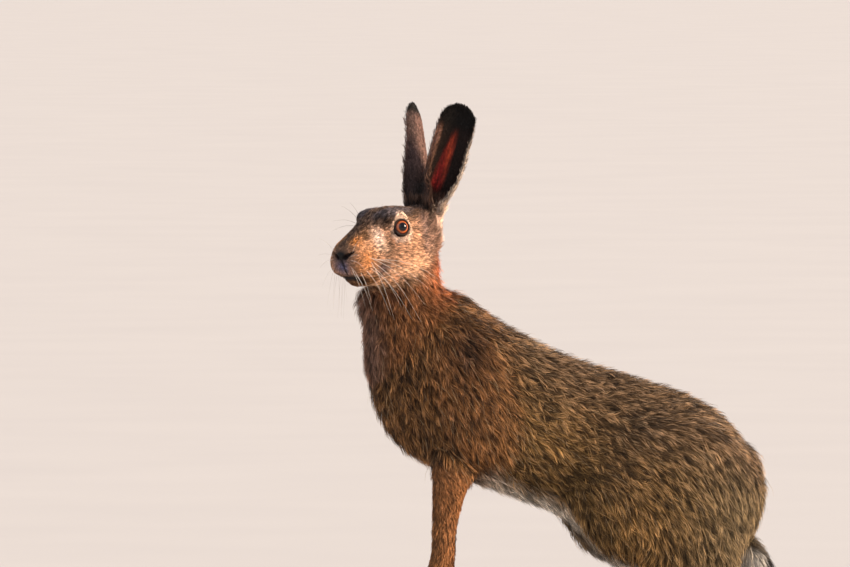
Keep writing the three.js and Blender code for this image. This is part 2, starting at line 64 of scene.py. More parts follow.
lens_data = bpy.data.cameras.new("camera")
lens_data.lens = LENS
lens_data.sensor_width = FILM_WIDTH
lens_data.clip_end = 1000
camera = bpy.data.objects.new("camera", lens_data)
camera.rotation_mode = "QUATERNION"
camera.location = centre + to_camera * (PICTURE_WIDTH * LENS / FILM_WIDTH)
camera.rotation_quaternion = to_camera.to_track_quat("Z", "Y")
bpy.context.scene.collection.objects.link(camera)
bpy.context.scene.camera = camera


def lamp(name, direction, width, power, colour):
    """A far, wide lamp that lights everything evenly from that direction; its width is in degrees."""
    data = bpy.data.lights.new(name, "SUN")
    data.angle = math.radians(width)
    data.energy = power
    data.color = colour
    made = bpy.data.objects.new(name, data)
    made.rotation_mode = "QUATERNION"
    made.rotation_quaternion = Vector(direction).to_track_quat("Z", "Y")
    bpy.context.scene.collection.objects.link(made)


lamp("low_warm_lamp", (0.88, -0.44, 0.36), 12, 6.0, (1.0, 0.76, 0.54))
lamp("side_soft_lamp", (-0.75, -0.8, 0.6), 50, 0.5, (0.80, 0.87, 1.0))
lamp("rear_soft_lamp", (0.55, 0.9, 0.7), 25, 1.6, (1.0, 0.86, 0.72))

sky = bpy.data.worlds.new("sky")
sky.use_nodes = True
sky_light = sky.node_tree.nodes["Background"].inputs
sky_light["Color"].default_value = (0.80, 0.87, 1.0, 1)
sky_light["Strength"].default_value = 0.55
bpy.context.scene.world = sky
bpy.context.scene.view_settings.view_transform = "Standard"


def linear(red, green, blue):
    """A colour on paper, 0 to 255, as light."""
    return tuple(
        c / 255 / 12.92 if c <= 10.3 else ((c / 255 + 0.055) / 1.055) ** 2.4 for c in (red, green, blue)
    )


def feed(tree, made, values):
    """Gives a node's inputs their values, or links them to other nodes' outputs."""
    for socket, value in values.items():
        if isinstance(value, bpy.types.NodeSocket):
            tree.links.new(value, made.inputs[socket])
        else:
            made.inputs[socket].default_value = value


def node(tree, kind, values, **settings):
    """Adds a node with those settings and inputs, and returns its outputs."""
    made = tree.nodes.new("ShaderNode" + kind)
    for setting, value in settings.items():
        setattr(made, setting, value)
    feed(tree, made, values)
    return made.outputs


def new_finish(name):
    """A material with its shader, and its tree to add to."""
    made = bpy.data.materials.new(name)
    made.use_nodes = True
    return made, made.node_tree, made.node_tree.nodes["Principled BSDF"]


def piece(name, mesh, finish=None):
    made = bpy.data.objects.new(name, mesh)
    bpy.context.scene.collection.objects.link(made)
    if finish:
        mesh.materials.clear()
        mesh.materials.append(finish)
    return made


def mesh_of(name, form):
    """Turns a form into a mesh of its own."""
    mesh = bpy.data.meshes.new(name)
    form.to_mesh(mesh)
    form.free()
    return mesh


natural_grain = bpy.data.node_groups.new("natural_grain", "ShaderNodeTree")
for socket, kind in (
    ("Place", "Vector"), ("Scale", "Float"), ("Detail", "Float"),
    ("Darkest", "Float"), ("Lightest", "Float"), ("Depth", "Float"),
):
    natural_grain.interface.new_socket(socket, in_out="INPUT", socket_type="NodeSocket" + kind)
for socket, kind in (("Mask", "Float"), ("Shade", "Float"), ("Normal", "Vector")):
    natural_grain.interface.new_socket(socket, in_out="OUTPUT", socket_type="NodeSocket" + kind)
given = natural_grain.nodes.new("NodeGroupInput").outputs
clouds = node(natural_grain, "TexNoise", {
    "Vector": given["Place"], "Scale": given["Scale"], "Detail": given["Detail"],
})["Fac"]
shades = node(natural_grain, "MapRange", {
    "Value": clouds, "To Min": given["Darkest"], "To Max": given["Lightest"],
})
dents = node(natural_grain, "Bump", {"Strength": 0.5, "Distance": given["Depth"], "Height": clouds})
feed(natural_grain, natural_grain.nodes.new("NodeGroupOutput"), {
    "Mask": clouds, "Shade": shades["Result"], "Normal": dents["Normal"],
})


def grained(tree, scale, detail, darkest=0.8, lightest=1.2, depth=0, stretch=(1, 1, 1)):
    """The fine unevenness of a natural finish, on the object's own place, with its depth in mm."""
    place = node(tree, "TexCoord", {})["Object"]
    return node(tree, "Group", {
        "Place": node(tree, "Mapping", {"Vector": place, "Scale": stretch})["Vector"],
        "Scale": scale, "Detail": detail, "Darkest": darkest, "Lightest": lightest, "Depth": depth * mm,
    }, node_tree=natural_grain)


def between(tree, mask, dark, light):
    """One colour where the mask is 0 and another where it is 1."""
    return node(tree, "Mix", {
        "A": (*linear(*dark), 1), "B": (*linear(*light), 1), "Factor": mask,
    }, data_type="RGBA")["Result"]


floor_form = bmesh.new()
bmesh.ops.create_grid(floor_form, x_segments=1, y_segments=1, size=FLOOR_HALF)
bmesh.ops.translate(floor_form, verts=floor_form.verts, vec=(0, 0, -FLOOR_DROP))
floor_paint, tree, shader = new_finish("floor_paint")
feed(tree, shader, {
    "Base Color": between(tree, grained(tree, 3, 2)["Mask"], (190, 187, 186), (198, 195, 193)),
    "Roughness": 0.9,
})
piece("floor", mesh_of("floor", floor_form), floor_paint)

# The skin.
# One closed hide over the whole animal, from the lips to the tail, made from the solids' own
# forms drawn in by the depth of the coat. It is smooth and dark between the hairs.
FLESH = ["head", "ear_left", "ear_right", "neck", "torso", "tail"] + [
    part + side
    for part in ("shoulder", "foreleg", "forefoot", "thigh", "hindfoot")
    for side in ("_left", "_right")
]
PARTS = ["head", "ear", "neck", "torso", "tail", "shoulder", "foreleg", "forefoot", "thigh", "hindfoot"]
PART_OF = {name: PARTS.index(name.split("_")[0]) for name in FLESH}
GRAIN = 2.0 * mm
SEAM_CLOSING = 0.35 * mm
EAR_CLOSING = 0.85 * mm
EAR_SKIN_DEPTH = 0.45 * mm
DRAW_STEPS = 4
BODY_FACES_KEPT = 0.62
COAT_DEPTH = dict(
    head=2.4, ear=0.6, neck=8, torso=9, tail=8, shoulder=8, foreleg=3, forefoot=2, thigh=8.5, hindfoot=2.2
)

HEAD_ORIGIN = np.array((-130.5, 8, 378)) * mm
head_turn = Euler((0, math.radians(-9), math.radians(33)), "XYZ").to_matrix()
head_axes = np.array([-head_turn.col[0], -head_turn.col[1], head_turn.col[2]])
SIDES = {"left": 1, "right": -1}
EYE = (55, 22.2, 13.4)
EYE_RADIUS = 9.6
EYE_FORWARD = 21
EYE_RAISED = 12
LID_OPENING = 55
NOSTRIL = (8.6, -3.8)
NOSTRIL_REACH = (6.6, 1.7)
NOSTRIL_LEAN = 30
NOSTRIL_DEEP = 4.5
LIP_LINE = ((124, -23), (116, -24), (110, -27), (105, -30.5), (101, -33.5))
LIP_DEEP = 1.8
CLEFT_DEEP = 1.3


def on_head(points):
    """Points as ahead of the back of the skull, to the hare's left and up, in mm."""
    return (np.asarray(points) - HEAD_ORIGIN) @ head_axes.T / mm


def off_head(points):
    return np.asarray(points) * mm @ head_axes + HEAD_ORIGIN


def ramp(values, start, end):
    """0 before start, 1 past end, and smooth between."""
    t = np.clip((np.asarray(values, float) - start) / (end - start), 0, 1)
    return t * t * (3 - 2 * t)


def fade(values, start, end):
    """1 before start, 0 past end, and smooth between."""
    return ramp(-values, -end, -start)


def blob(points, middle, reach):
    """1 at the middle of an ellipsoid, falling off smoothly with its reach."""
    return np.exp(-((np.asarray(points) - middle) ** 2 / np.square(reach)).sum(-1))


def read(items, name, width, kind=float):
    """One of a mesh's own values, as an array with a row for each of its items."""
    flat = np.empty(len(items) * width, kind)
    items.foreach_get(name, flat)
    return flat.reshape(-1, width)


def corners(mesh):
    return read(mesh.vertices, "co", 3)


def put_corners(mesh, points):
    mesh.vertices.foreach_set("co", np.asarray(points, float).ravel())
    mesh.update()


def outward(mesh):
    return read(mesh.vertices, "normal", 3)


def unit(vectors):
    return vectors / np.maximum(np.linalg.norm(vectors, axis=-1, keepdims=True), 1e-9)


def along(vectors, normal):
    """Directions laid along a surface."""
    return unit(vectors - (vectors * normal).sum(1)[:, None] * normal)


def mirrored(place, side):
    """A place or a direction on the left of the head, for that side."""
    return np.array((place[0], side * place[1], place[2]), float)


def folded(points):
    """Points with both sides of the hare laid on one."""
    return points * (1, 0, 1) + np.abs(points) * (0, 1, 0)


def part_share(belongs, *names):
    """How much each point belongs to those parts of the animal."""
    return belongs[:, [PARTS.index(name) for name in names]].sum(1)


def spread(values, edges, rounds):
    """Each corner's value drawn towards its neighbours', so that one part runs into the next."""
    a, b = edges.T
    count = np.bincount(edges.ravel(), minlength=len(values))[:, None]
    for _ in range(rounds):
        total = np.stack([
            np.bincount(a, values[b, k], len(values)) + np.bincount(b, values[a, k], len(values))
            for k in range(values.shape[1])
        ], 1)
        values = 0.4 * values + 0.6 * total / np.maximum(count, 1)
    return values


def worked(made):
    """A piece's mesh with its modifiers worked in, which leaves nothing of the piece."""
    mesh = bpy.data.meshes.new_from_object(made.evaluated_get(bpy.context.evaluated_depsgraph_get()))
    plain = made.data
    bpy.data.objects.remove(made)
    bpy.data.meshes.remove(plain)
    return mesh


def form_of(*meshes):
    """Those meshes as one form to work on."""
    form = bmesh.new()
    for mesh in meshes:
        form.from_mesh(mesh)
    form.verts.ensure_lookup_table()
    form.faces.ensure_lookup_table()
    return form


def put_form(form, mesh):
    form.to_mesh(mesh)
    form.free()
    mesh.update()


fused_form = bmesh.new()
true_form = bmesh.new()
for name in FLESH:
    part = form_of(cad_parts[name].data)
    bmesh.ops.remove_doubles(part, verts=part.verts, dist=0.01 * mm)
    for face in part.faces:
        face.material_index = PART_OF[name]
    part_mesh = bpy.data.meshes.new("part")
    part.to_mesh(part_mesh)
    true_form.from_mesh(part_mesh)
    part.normal_update()
    for v in part.verts:
        v.co += v.normal * (EAR_CLOSING if name.startswith("ear") else SEAM_CLOSING)
    part.to_mesh(part_mesh)
    fused_form.from_mesh(part_mesh)
    part.free()
    bpy.data.meshes.remove(part_mesh)
true_form.faces.ensure_lookup_table()
true_part = np.array([face.material_index for face in true_form.faces])
true_tree = BVHTree.FromBMesh(true_form)
true_form.free()

fused = piece("fused", mesh_of("fused", fused_form))
fuse = fused.modifiers.new("fuse", "REMESH")
fuse.mode = "VOXEL"
fuse.voxel_size = GRAIN
skin_mesh = worked(fused)


def parts_at(points):
    """How much each point belongs to each part of the animal, from the solid that is nearest."""
    belongs = np.zeros((len(points), len(PARTS)))
    for i, p in enumerate(points):
        belongs[i, true_part[true_tree.find_nearest(p)[2]]] = 1
    return belongs


def smooth(mesh, rounds, factor=0.5, only=None):
    """Evens out a mesh, or only its chosen corners."""
    form = form_of(mesh)
    verts = list(form.verts) if only is None else [form.verts[i] for i in np.flatnonzero(only)]
    for _ in range(rounds):
        bmesh.ops.smooth_vert(
            form, verts=verts, factor=factor, use_axis_x=True, use_axis_y=True, use_axis_z=True
        )
    put_form(form, mesh)


def eye_looks(side):
    """The way that an eye looks, in the head."""
    forward, up = math.radians(EYE_FORWARD), math.radians(EYE_RAISED)
    level = math.cos(up)
    return mirrored((math.sin(forward) * level, math.cos(forward) * level, math.sin(up)), side)


def eye_polar(q, side):
    """Distance from an eye's centre in mm, and the angle from the way that it looks."""
    from_eye = q - mirrored(EYE, side)
    distance = np.linalg.norm(from_eye, axis=1)
    level = np.clip(from_eye @ eye_looks(side) / np.maximum(distance, 1e-6), -1, 1)
    return distance, np.degrees(np.arccos(level))


def coat_depth(points, belongs):
    """How deep the coat lies over the skin, in metres."""
    depth = belongs @ np.array([COAT_DEPTH[part] for part in PARTS], float)
    ahead, _, up = on_head(points).T
    face = 0.7 + 1.5 * fade(ahead, 78, 108) + 1.3 * fade(up, -30, -5) + 1.6 * fade(ahead, 5, 40)
    for side in SIDES.values():
        face *= 0.1 + 0.9 * ramp(eye_polar(on_head(points), side)[0], 10.5, 19)
    return (depth + part_share(belongs, "head") * (face - COAT_DEPTH["head"])) * mm


smooth(skin_mesh, 5)
edges = read(skin_mesh.edges, "vertices", 2, int)
belongs = spread(parts_at(corners(skin_mesh)), edges, 6)
on_body = part_share(belongs, "torso", "neck", "thigh")
smooth(skin_mesh, 24, 0.5, on_body + part_share(belongs, "shoulder") > 0.9)
for step in range(DRAW_STEPS):
    points = corners(skin_mesh)
    inward = outward(skin_mesh) * coat_depth(points, belongs)[:, None] / DRAW_STEPS
    put_corners(skin_mesh, points - inward)
    smooth(skin_mesh, 1, 0.4)

# The ears' thin walls are laid back on the solids' own, made round.
ear_form = form_of(*[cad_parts["ear_" + side].data for side in SIDES])
bmesh.ops.remove_doubles(ear_form, verts=ear_form.verts, dist=0.01 * mm)
ears = piece("ears", mesh_of("ears", ear_form))
ears.modifiers.new("round", "SUBSURF").levels = 2
rounded = worked(ears)
ear_form = form_of(rounded)
ear_tree = BVHTree.FromBMesh(ear_form)
ear_form.free()
bpy.data.meshes.remove(rounded)
points = corners(skin_mesh)
on_ear = ramp(part_share(belongs, "ear"), 0.55, 0.95)
for i in np.flatnonzero(on_ear > 0):
    place, facing, _, _ = ear_tree.find_nearest(points[i])
    points[i] += on_ear[i] * (np.array(place - facing * EAR_SKIN_DEPTH) - points[i])
put_corners(skin_mesh, points)
smooth(skin_mesh, 2, 0.4, on_ear > 0)

# Fewer faces under the deep coat, where nothing shows.
skin = piece("skin", skin_mesh)
thick_coat = skin.vertex_groups.new(name="thick_coat")
thick_coat.add([int(i) for i in np.flatnonzero(on_body > 0.98)], 1, "REPLACE")
lighten = skin.modifiers.new("lighten", "DECIMATE")
lighten.ratio = BODY_FACES_KEPT
lighten.vertex_group = "thick_coat"
skin_mesh = worked(skin)
skin_mesh.name = "skin"
skin = piece("skin", skin_mesh)
skin.vertex_groups.clear()


def refine(mesh, chosen):
    """Splits the faces whose corners are chosen."""
    form = form_of(mesh)
    inside = set(np.flatnonzero(chosen(on_head(corners(mesh)))).tolist())
    split = [e for e in form.edges if e.verts[0].index in inside and e.verts[1].index in inside]
    bmesh.ops.subdivide_edges(form, edges=split, cuts=1, use_grid_fill=True, smooth=0.0)
    put_form(form, mesh)


def nostril_depth(q):
    """0 outside the nostrils' slits to 1 within them."""
    deep = np.zeros(len(q))
    lean = math.radians(NOSTRIL_LEAN)
    for side in SIDES.values():
        out, up = side * q[:, 1] - NOSTRIL[0], q[:, 2] - NOSTRIL[1]
        lengthwise = (out * math.cos(lean) + up * math.sin(lean)) / NOSTRIL_REACH[0]
        half_wide = NOSTRIL_REACH[1] * (1.15 - 0.45 * lengthwise)
        across = (up * math.cos(lean) - out * math.sin(lean)) / half_wide
        within = fade(np.hypot(lengthwise, across), 0.7, 1.25)
        deep = np.maximum(deep, within * ramp(q[:, 0], 98, 104))
    return deep


def lip_distance(q):
    """Distance in mm from the line of the mouth, in the side view."""
    nearest = np.full(len(q), 99.0)
    side_view = q[:, ::2]
    for start, end in zip(LIP_LINE, LIP_LINE[1:]):
        start, step = np.array(start, float), np.subtract(end, start)
        share = np.clip(((side_view - start) @ step) / (step @ step), 0, 1)
        away = side_view - start - share[:, None] * step
        nearest = np.minimum(nearest, np.linalg.norm(away, axis=1))
    return nearest


def cleft(q):
    """1 in the cleft between the nose and the upper lip."""
    between_lips = fade(np.abs(q[:, 1]), 0.5, 2.4) * ramp(q[:, 2], -25, -22.5)
    return between_lips * fade(q[:, 2], -9, -6) * ramp(q[:, 0], 104, 110)


def on_toes(points):
    """Where the feet end: 1 on each toe's ridge to -1 between the toes, and 1 where claws grow."""
    ridge, tip = np.zeros(len(points)), np.zeros(len(points))
    for foot in ("fore", "hind"):
        for side in SIDES:
            claws = np.array([
                corners(claw.data).mean(0) for name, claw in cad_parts.items()
                if name.startswith(f"{foot}claw_{side}")
            ])[:, :2]
            apart = (claws[-1] - claws[0]) / (len(claws) - 1)
            offset = points[:, :2] - claws.mean(0)
            toe = offset @ apart / (apart @ apart)
            ahead = unit(np.array([[-abs(apart[1]), apart[0] * np.sign(apart[1])]]))[0]
            behind = -(offset @ ahead) / mm
            near = (np.abs(toe) < 2.2) * (points[:, 2] < 26 * mm) * (behind > -14)
            ridge += near * fade(behind, 16, 30) * np.cos(2 * math.pi * (toe - 0.5))
            tip += near * fade(behind, 5, 13)
    return ridge, tip


def by_eye(q, reach):
    """Whether each point is that near to an eye."""
    return np.minimum(*[eye_polar(q, side)[0] for side in SIDES.values()]) < reach


points = corners(skin_mesh)
q = on_head(points)
swell = 2.4 * blob(folded(q), (110, 14, -6), (13, 11, 15))
swell += 1.8 * ramp(q[:, 2], 16, 26) * ramp(q[:, 0], 30, 50)
swell += 1.4 * on_toes(points)[0]
moved = points + outward(skin_mesh) * swell[:, None] * mm
moved += head_axes[2] * 3.4 * mm * blob(q, (104, 0, -42), (15, 16, 8))[:, None]
for axis, distance, middle, reach in (
    (0, -4.5, (-196, -6, 318), (18, 30, 14)),
    (0, 5, (-121, -8, 357), (16, 26, 14)),
    (2, 6, (-95, 0, 304), (20, 36, 15)),
):
    moved[:, axis] += distance * mm * blob(points / mm, middle, reach)
put_corners(skin_mesh, moved)
refine(skin_mesh, lambda q: (q[:, 0] > 90) & (q[:, 2] > -44) | by_eye(q, 17))
smooth(skin_mesh, 2, 0.5, np.linalg.norm(on_head(corners(skin_mesh)) - (105, 0, -15), axis=1) < 32)
refine(skin_mesh, lambda q: (q[:, 0] > 96) & (
    (nostril_depth(q) > 0.01) | (lip_distance(q) < 3) | (cleft(q) > 0.01)
))

points = corners(skin_mesh)
q = on_head(points)
normal = outward(skin_mesh)
on_face = ramp(q[:, 0], 94, 99)
sink = NOSTRIL_DEEP * nostril_depth(q)
sink = np.maximum(sink, LIP_DEEP * fade(lip_distance(q), 0.4, 1.7) * on_face)
sink = np.maximum(sink, CLEFT_DEEP * cleft(q))
points = points - normal * sink[:, None] * mm
for side in SIDES.values():
    eye = off_head(mirrored(EYE, side))
    distance, turn = eye_polar(q, side)
    lid_under, lid_over = np.minimum(distance, EYE_RADIUS - 1.2), np.maximum(distance, EYE_RADIUS - 0.4)
    radius = np.where(turn < LID_OPENING, lid_under, lid_over)
    near = (distance < 15)[:, None]
    points = np.where(near, eye + unit(points - eye) * radius[:, None] * mm, points)
put_corners(skin_mesh, points)

# The lie of the coat over the skin.
# The hair points away from the nose and the eyes over the head, up the ears, and then back and
# down over the body and out along the feet.

# Places in mm, in the middle or on the right side, and the way that the hair points there.
LIE = np.array((
    (-110, 0, 360, 0.45, 0, -0.9), (-100, 0, 322, 0.72, 0, -0.7), (-45, 0, 292, 0.87, 0, -0.5),
    (35, 0, 252, 0.93, 0, -0.36), (115, 0, 228, 0.96, 0, -0.28), (185, 0, 190, 0.72, 0, -0.7),
    (213, 0, 130, 0.1, 0, -1), (205, 25, 80, 0.2, 0, -1), (-110, 38, 330, 0.55, 0, -0.84),
    (-66, 50, 250, 0.62, 0, -0.78), (-5, 56, 205, 0.78, 0, -0.62), (70, 66, 165, 0.78, 0, -0.62),
    (120, 72, 120, 0.66, 0, -0.76), (180, 60, 130, 0.3, 0, -0.95), (150, 66, 60, 0.4, 0, -0.9),
    (50, 66, 90, 0.35, 0, -0.94), (60, 66, 45, -0.2, 0, -1), (0, 30, 112, 0.9, -0.3, -0.3),
    (70, 25, 60, 1, 0, -0.1), (150, 30, 28, 1, 0, 0), (-178, 0, 330, 0.1, 0, -1),
    (-186, 0, 270, 0.08, 0.05, -1), (-165, 0, 190, 0.35, 0.05, -0.95),
    (-165, 32, 250, 0.3, 0.1, -0.95), (-110, 44, 180, 0.3, 0, -0.95), (-90, 20, 140, 0.7, 0, -0.7),
    (-105, 30, 100, 0.1, 0, -1), (-110, 28, 50, -0.05, 0, -1), (-135, 28, 18, -0.85, 0, -0.5),
    (-160, 28, 10, -1, 0, -0.25), (160, 52, 22, -0.6, 0, -0.6), (100, 54, 20, -1, 0, -0.15),
    (40, 58, 12, -1, 0, -0.25), (215, 0, 55, 0.45, 0, -0.9), (232, 0, 20, 0.3, 0, -0.95),
), float)
LIE_REACH = 26
EAR_ROOT = (2.5, 8.5, 4)
EAR_FOOT = (6.5, 8.5, 10)
EAR_RISE = (-40, 26, 118)
EAR_LENGTH = 128
EAR_OPEN = (72, 54)
EAR_BOW = 4
# Along an ear: share of its length, radius in mm, and half of the turn that its cup takes in.
EAR_CURL = (
    (0, 0.16, 0.27, 0.37, 0.5, 0.7, 0.87, 1),
    (8.5, 9.5, 12.5, 16.5, 19.5, 21.5, 21.5, 21.5),
    (168, 160, 128, 100, 80, 66, 60, 56),
)


def ear_place(q, side):
    """Share of an ear's length, place across it from rear rim -1 to front rim 1, and depth inside."""
    rise = mirrored(EAR_RISE, side)
    rise /= np.linalg.norm(rise)
    root = mirrored(EAR_ROOT, side)
    share = (q - root) @ rise / EAR_LENGTH
    within = np.clip(share, 0, 1)
    turn = np.radians(EAR_OPEN[0] + (EAR_OPEN[1] - EAR_OPEN[0]) * within)
    facing = np.stack([np.cos(turn), side * np.sin(turn), np.zeros(len(q))], 1)
    opens = unit(facing - (facing @ rise)[:, None] * rise)
    ahead = np.cross(opens, rise)
    ahead *= np.sign(ahead[:, :1])
    radius = np.interp(within, EAR_CURL[0], EAR_CURL[1])
    half = np.radians(np.interp(within, EAR_CURL[0], EAR_CURL[2]))
    back = radius * (1 - np.cos(half)) / 2 + EAR_BOW * np.sin(np.pi * within)
    axis = root + rise * (share * EAR_LENGTH)[:, None] + opens * (radius - back)[:, None]
    from_axis = q - axis
    across = np.arctan2((from_axis * ahead).sum(1), -(from_axis * opens).sum(1)) / half
    inside = radius - np.linalg.norm(from_axis - (from_axis @ rise)[:, None] * rise, axis=1)
    return share, across, inside


def place_in_ear(q):
    """The same, in the ear on each point's own side."""
    return [np.where(q[:, 1] > 0, left, right) for left, right in zip(ear_place(q, 1), ear_place(q, -1))]


def by_ear(q, side):
    """Distance in mm from the foot of an ear."""
    return np.linalg.norm(q - mirrored(EAR_FOOT, side), axis=1)


def lie_of_coat(points, normal, belongs):
    """The way that the hair points at each place, along the skin."""
    at = points / mm
    both_sides = np.concatenate([LIE, LIE[LIE[:, 1] > 0] * (1, -1, 1, 1, -1, 1)])
    places, ways = both_sides[:, :3], both_sides[:, 3:]
    weight = np.exp(-((at[:, None] - places) ** 2).sum(2) / (2 * LIE_REACH ** 2)) + 1e-12
    body = unit(weight @ ways / weight.sum(1)[:, None])
    q = on_head(points)
    from_nose = unit(q - (128, 0, -6))
    head = from_nose * 0.9 + (-0.75, 0, 0)
    head[:, 2] -= 0.30 * ramp(np.abs(q[:, 1]), 8, 22) * fade(q[:, 0], 60, 100)
    for side in SIDES.values():
        near_eye = fade(eye_polar(q, side)[0], 10, 20)
        head += 1.6 * unit(q - (EYE[0] + 3, side * EYE[1], EYE[2])) * near_eye[:, None]
    head = unit(head)
    ear = np.zeros_like(head)
    for side in SIDES.values():
        rise = unit(mirrored(EAR_RISE, side))
        on_side = ramp(side * q[:, 1], -1, 1)[:, None]
        _, across, inside = ear_place(q, side)
        rim = np.sign(across) * ramp(np.abs(across), 0.45, 0.95)
        lean = np.where(inside > 0, -0.7 * ramp(across, 0.35, 0.8), 0.8 * rim)
        ear += (rise + mirrored((0.75, -0.2, 0.25), side) * lean[:, None]) * on_side
        head += 2.2 * rise * on_side * fade(by_ear(q, side), 14, 27)[:, None]
    in_head, in_ear = part_share(belongs, "head")[:, None], part_share(belongs, "ear")[:, None]
    way = unit(head) @ head_axes * in_head + unit(ear) @ head_axes * in_ear + body * (1 - in_head - in_ear)
    return along(way, normal)


skin_mesh.calc_loop_triangles()
edges = read(skin_mesh.edges, "vertices", 2, int)
points = corners(skin_mesh)
normal = outward(skin_mesh)
belongs = spread(parts_at(points), edges, 5)
way = along(spread(lie_of_coat(points, normal, belongs), edges, 6), normal)
q = on_head(points)

# The markings, the same on the skin and on the coat. A brown hare is mottled black and buff
# above, russet on the neck and breast, white below, with a pale ring round the eye, black tips
# to the ears and a tail that is black above and white beneath. Light and shade are painted in
# among them too: bluish skylight on the breast's front, the muzzle's front and the crown's top,
# rim light at the rear of the head and on the ears' rear rims, a red glow through the ears as of
# light from behind, and shade in the ears' cups, between the toes and, with darker fur, over the
# shoulders.
def laid_over(colour, *marks_and_light):
    """Lays marks and painted light over the old colours in turn, each its mask and its colour, 0 to 255.
    """
    for mask, *new in marks_and_light:
        colour = colour + (np.array(linear(*new)) - colour) * np.clip(mask, 0, 1)[:, None]
    return colour


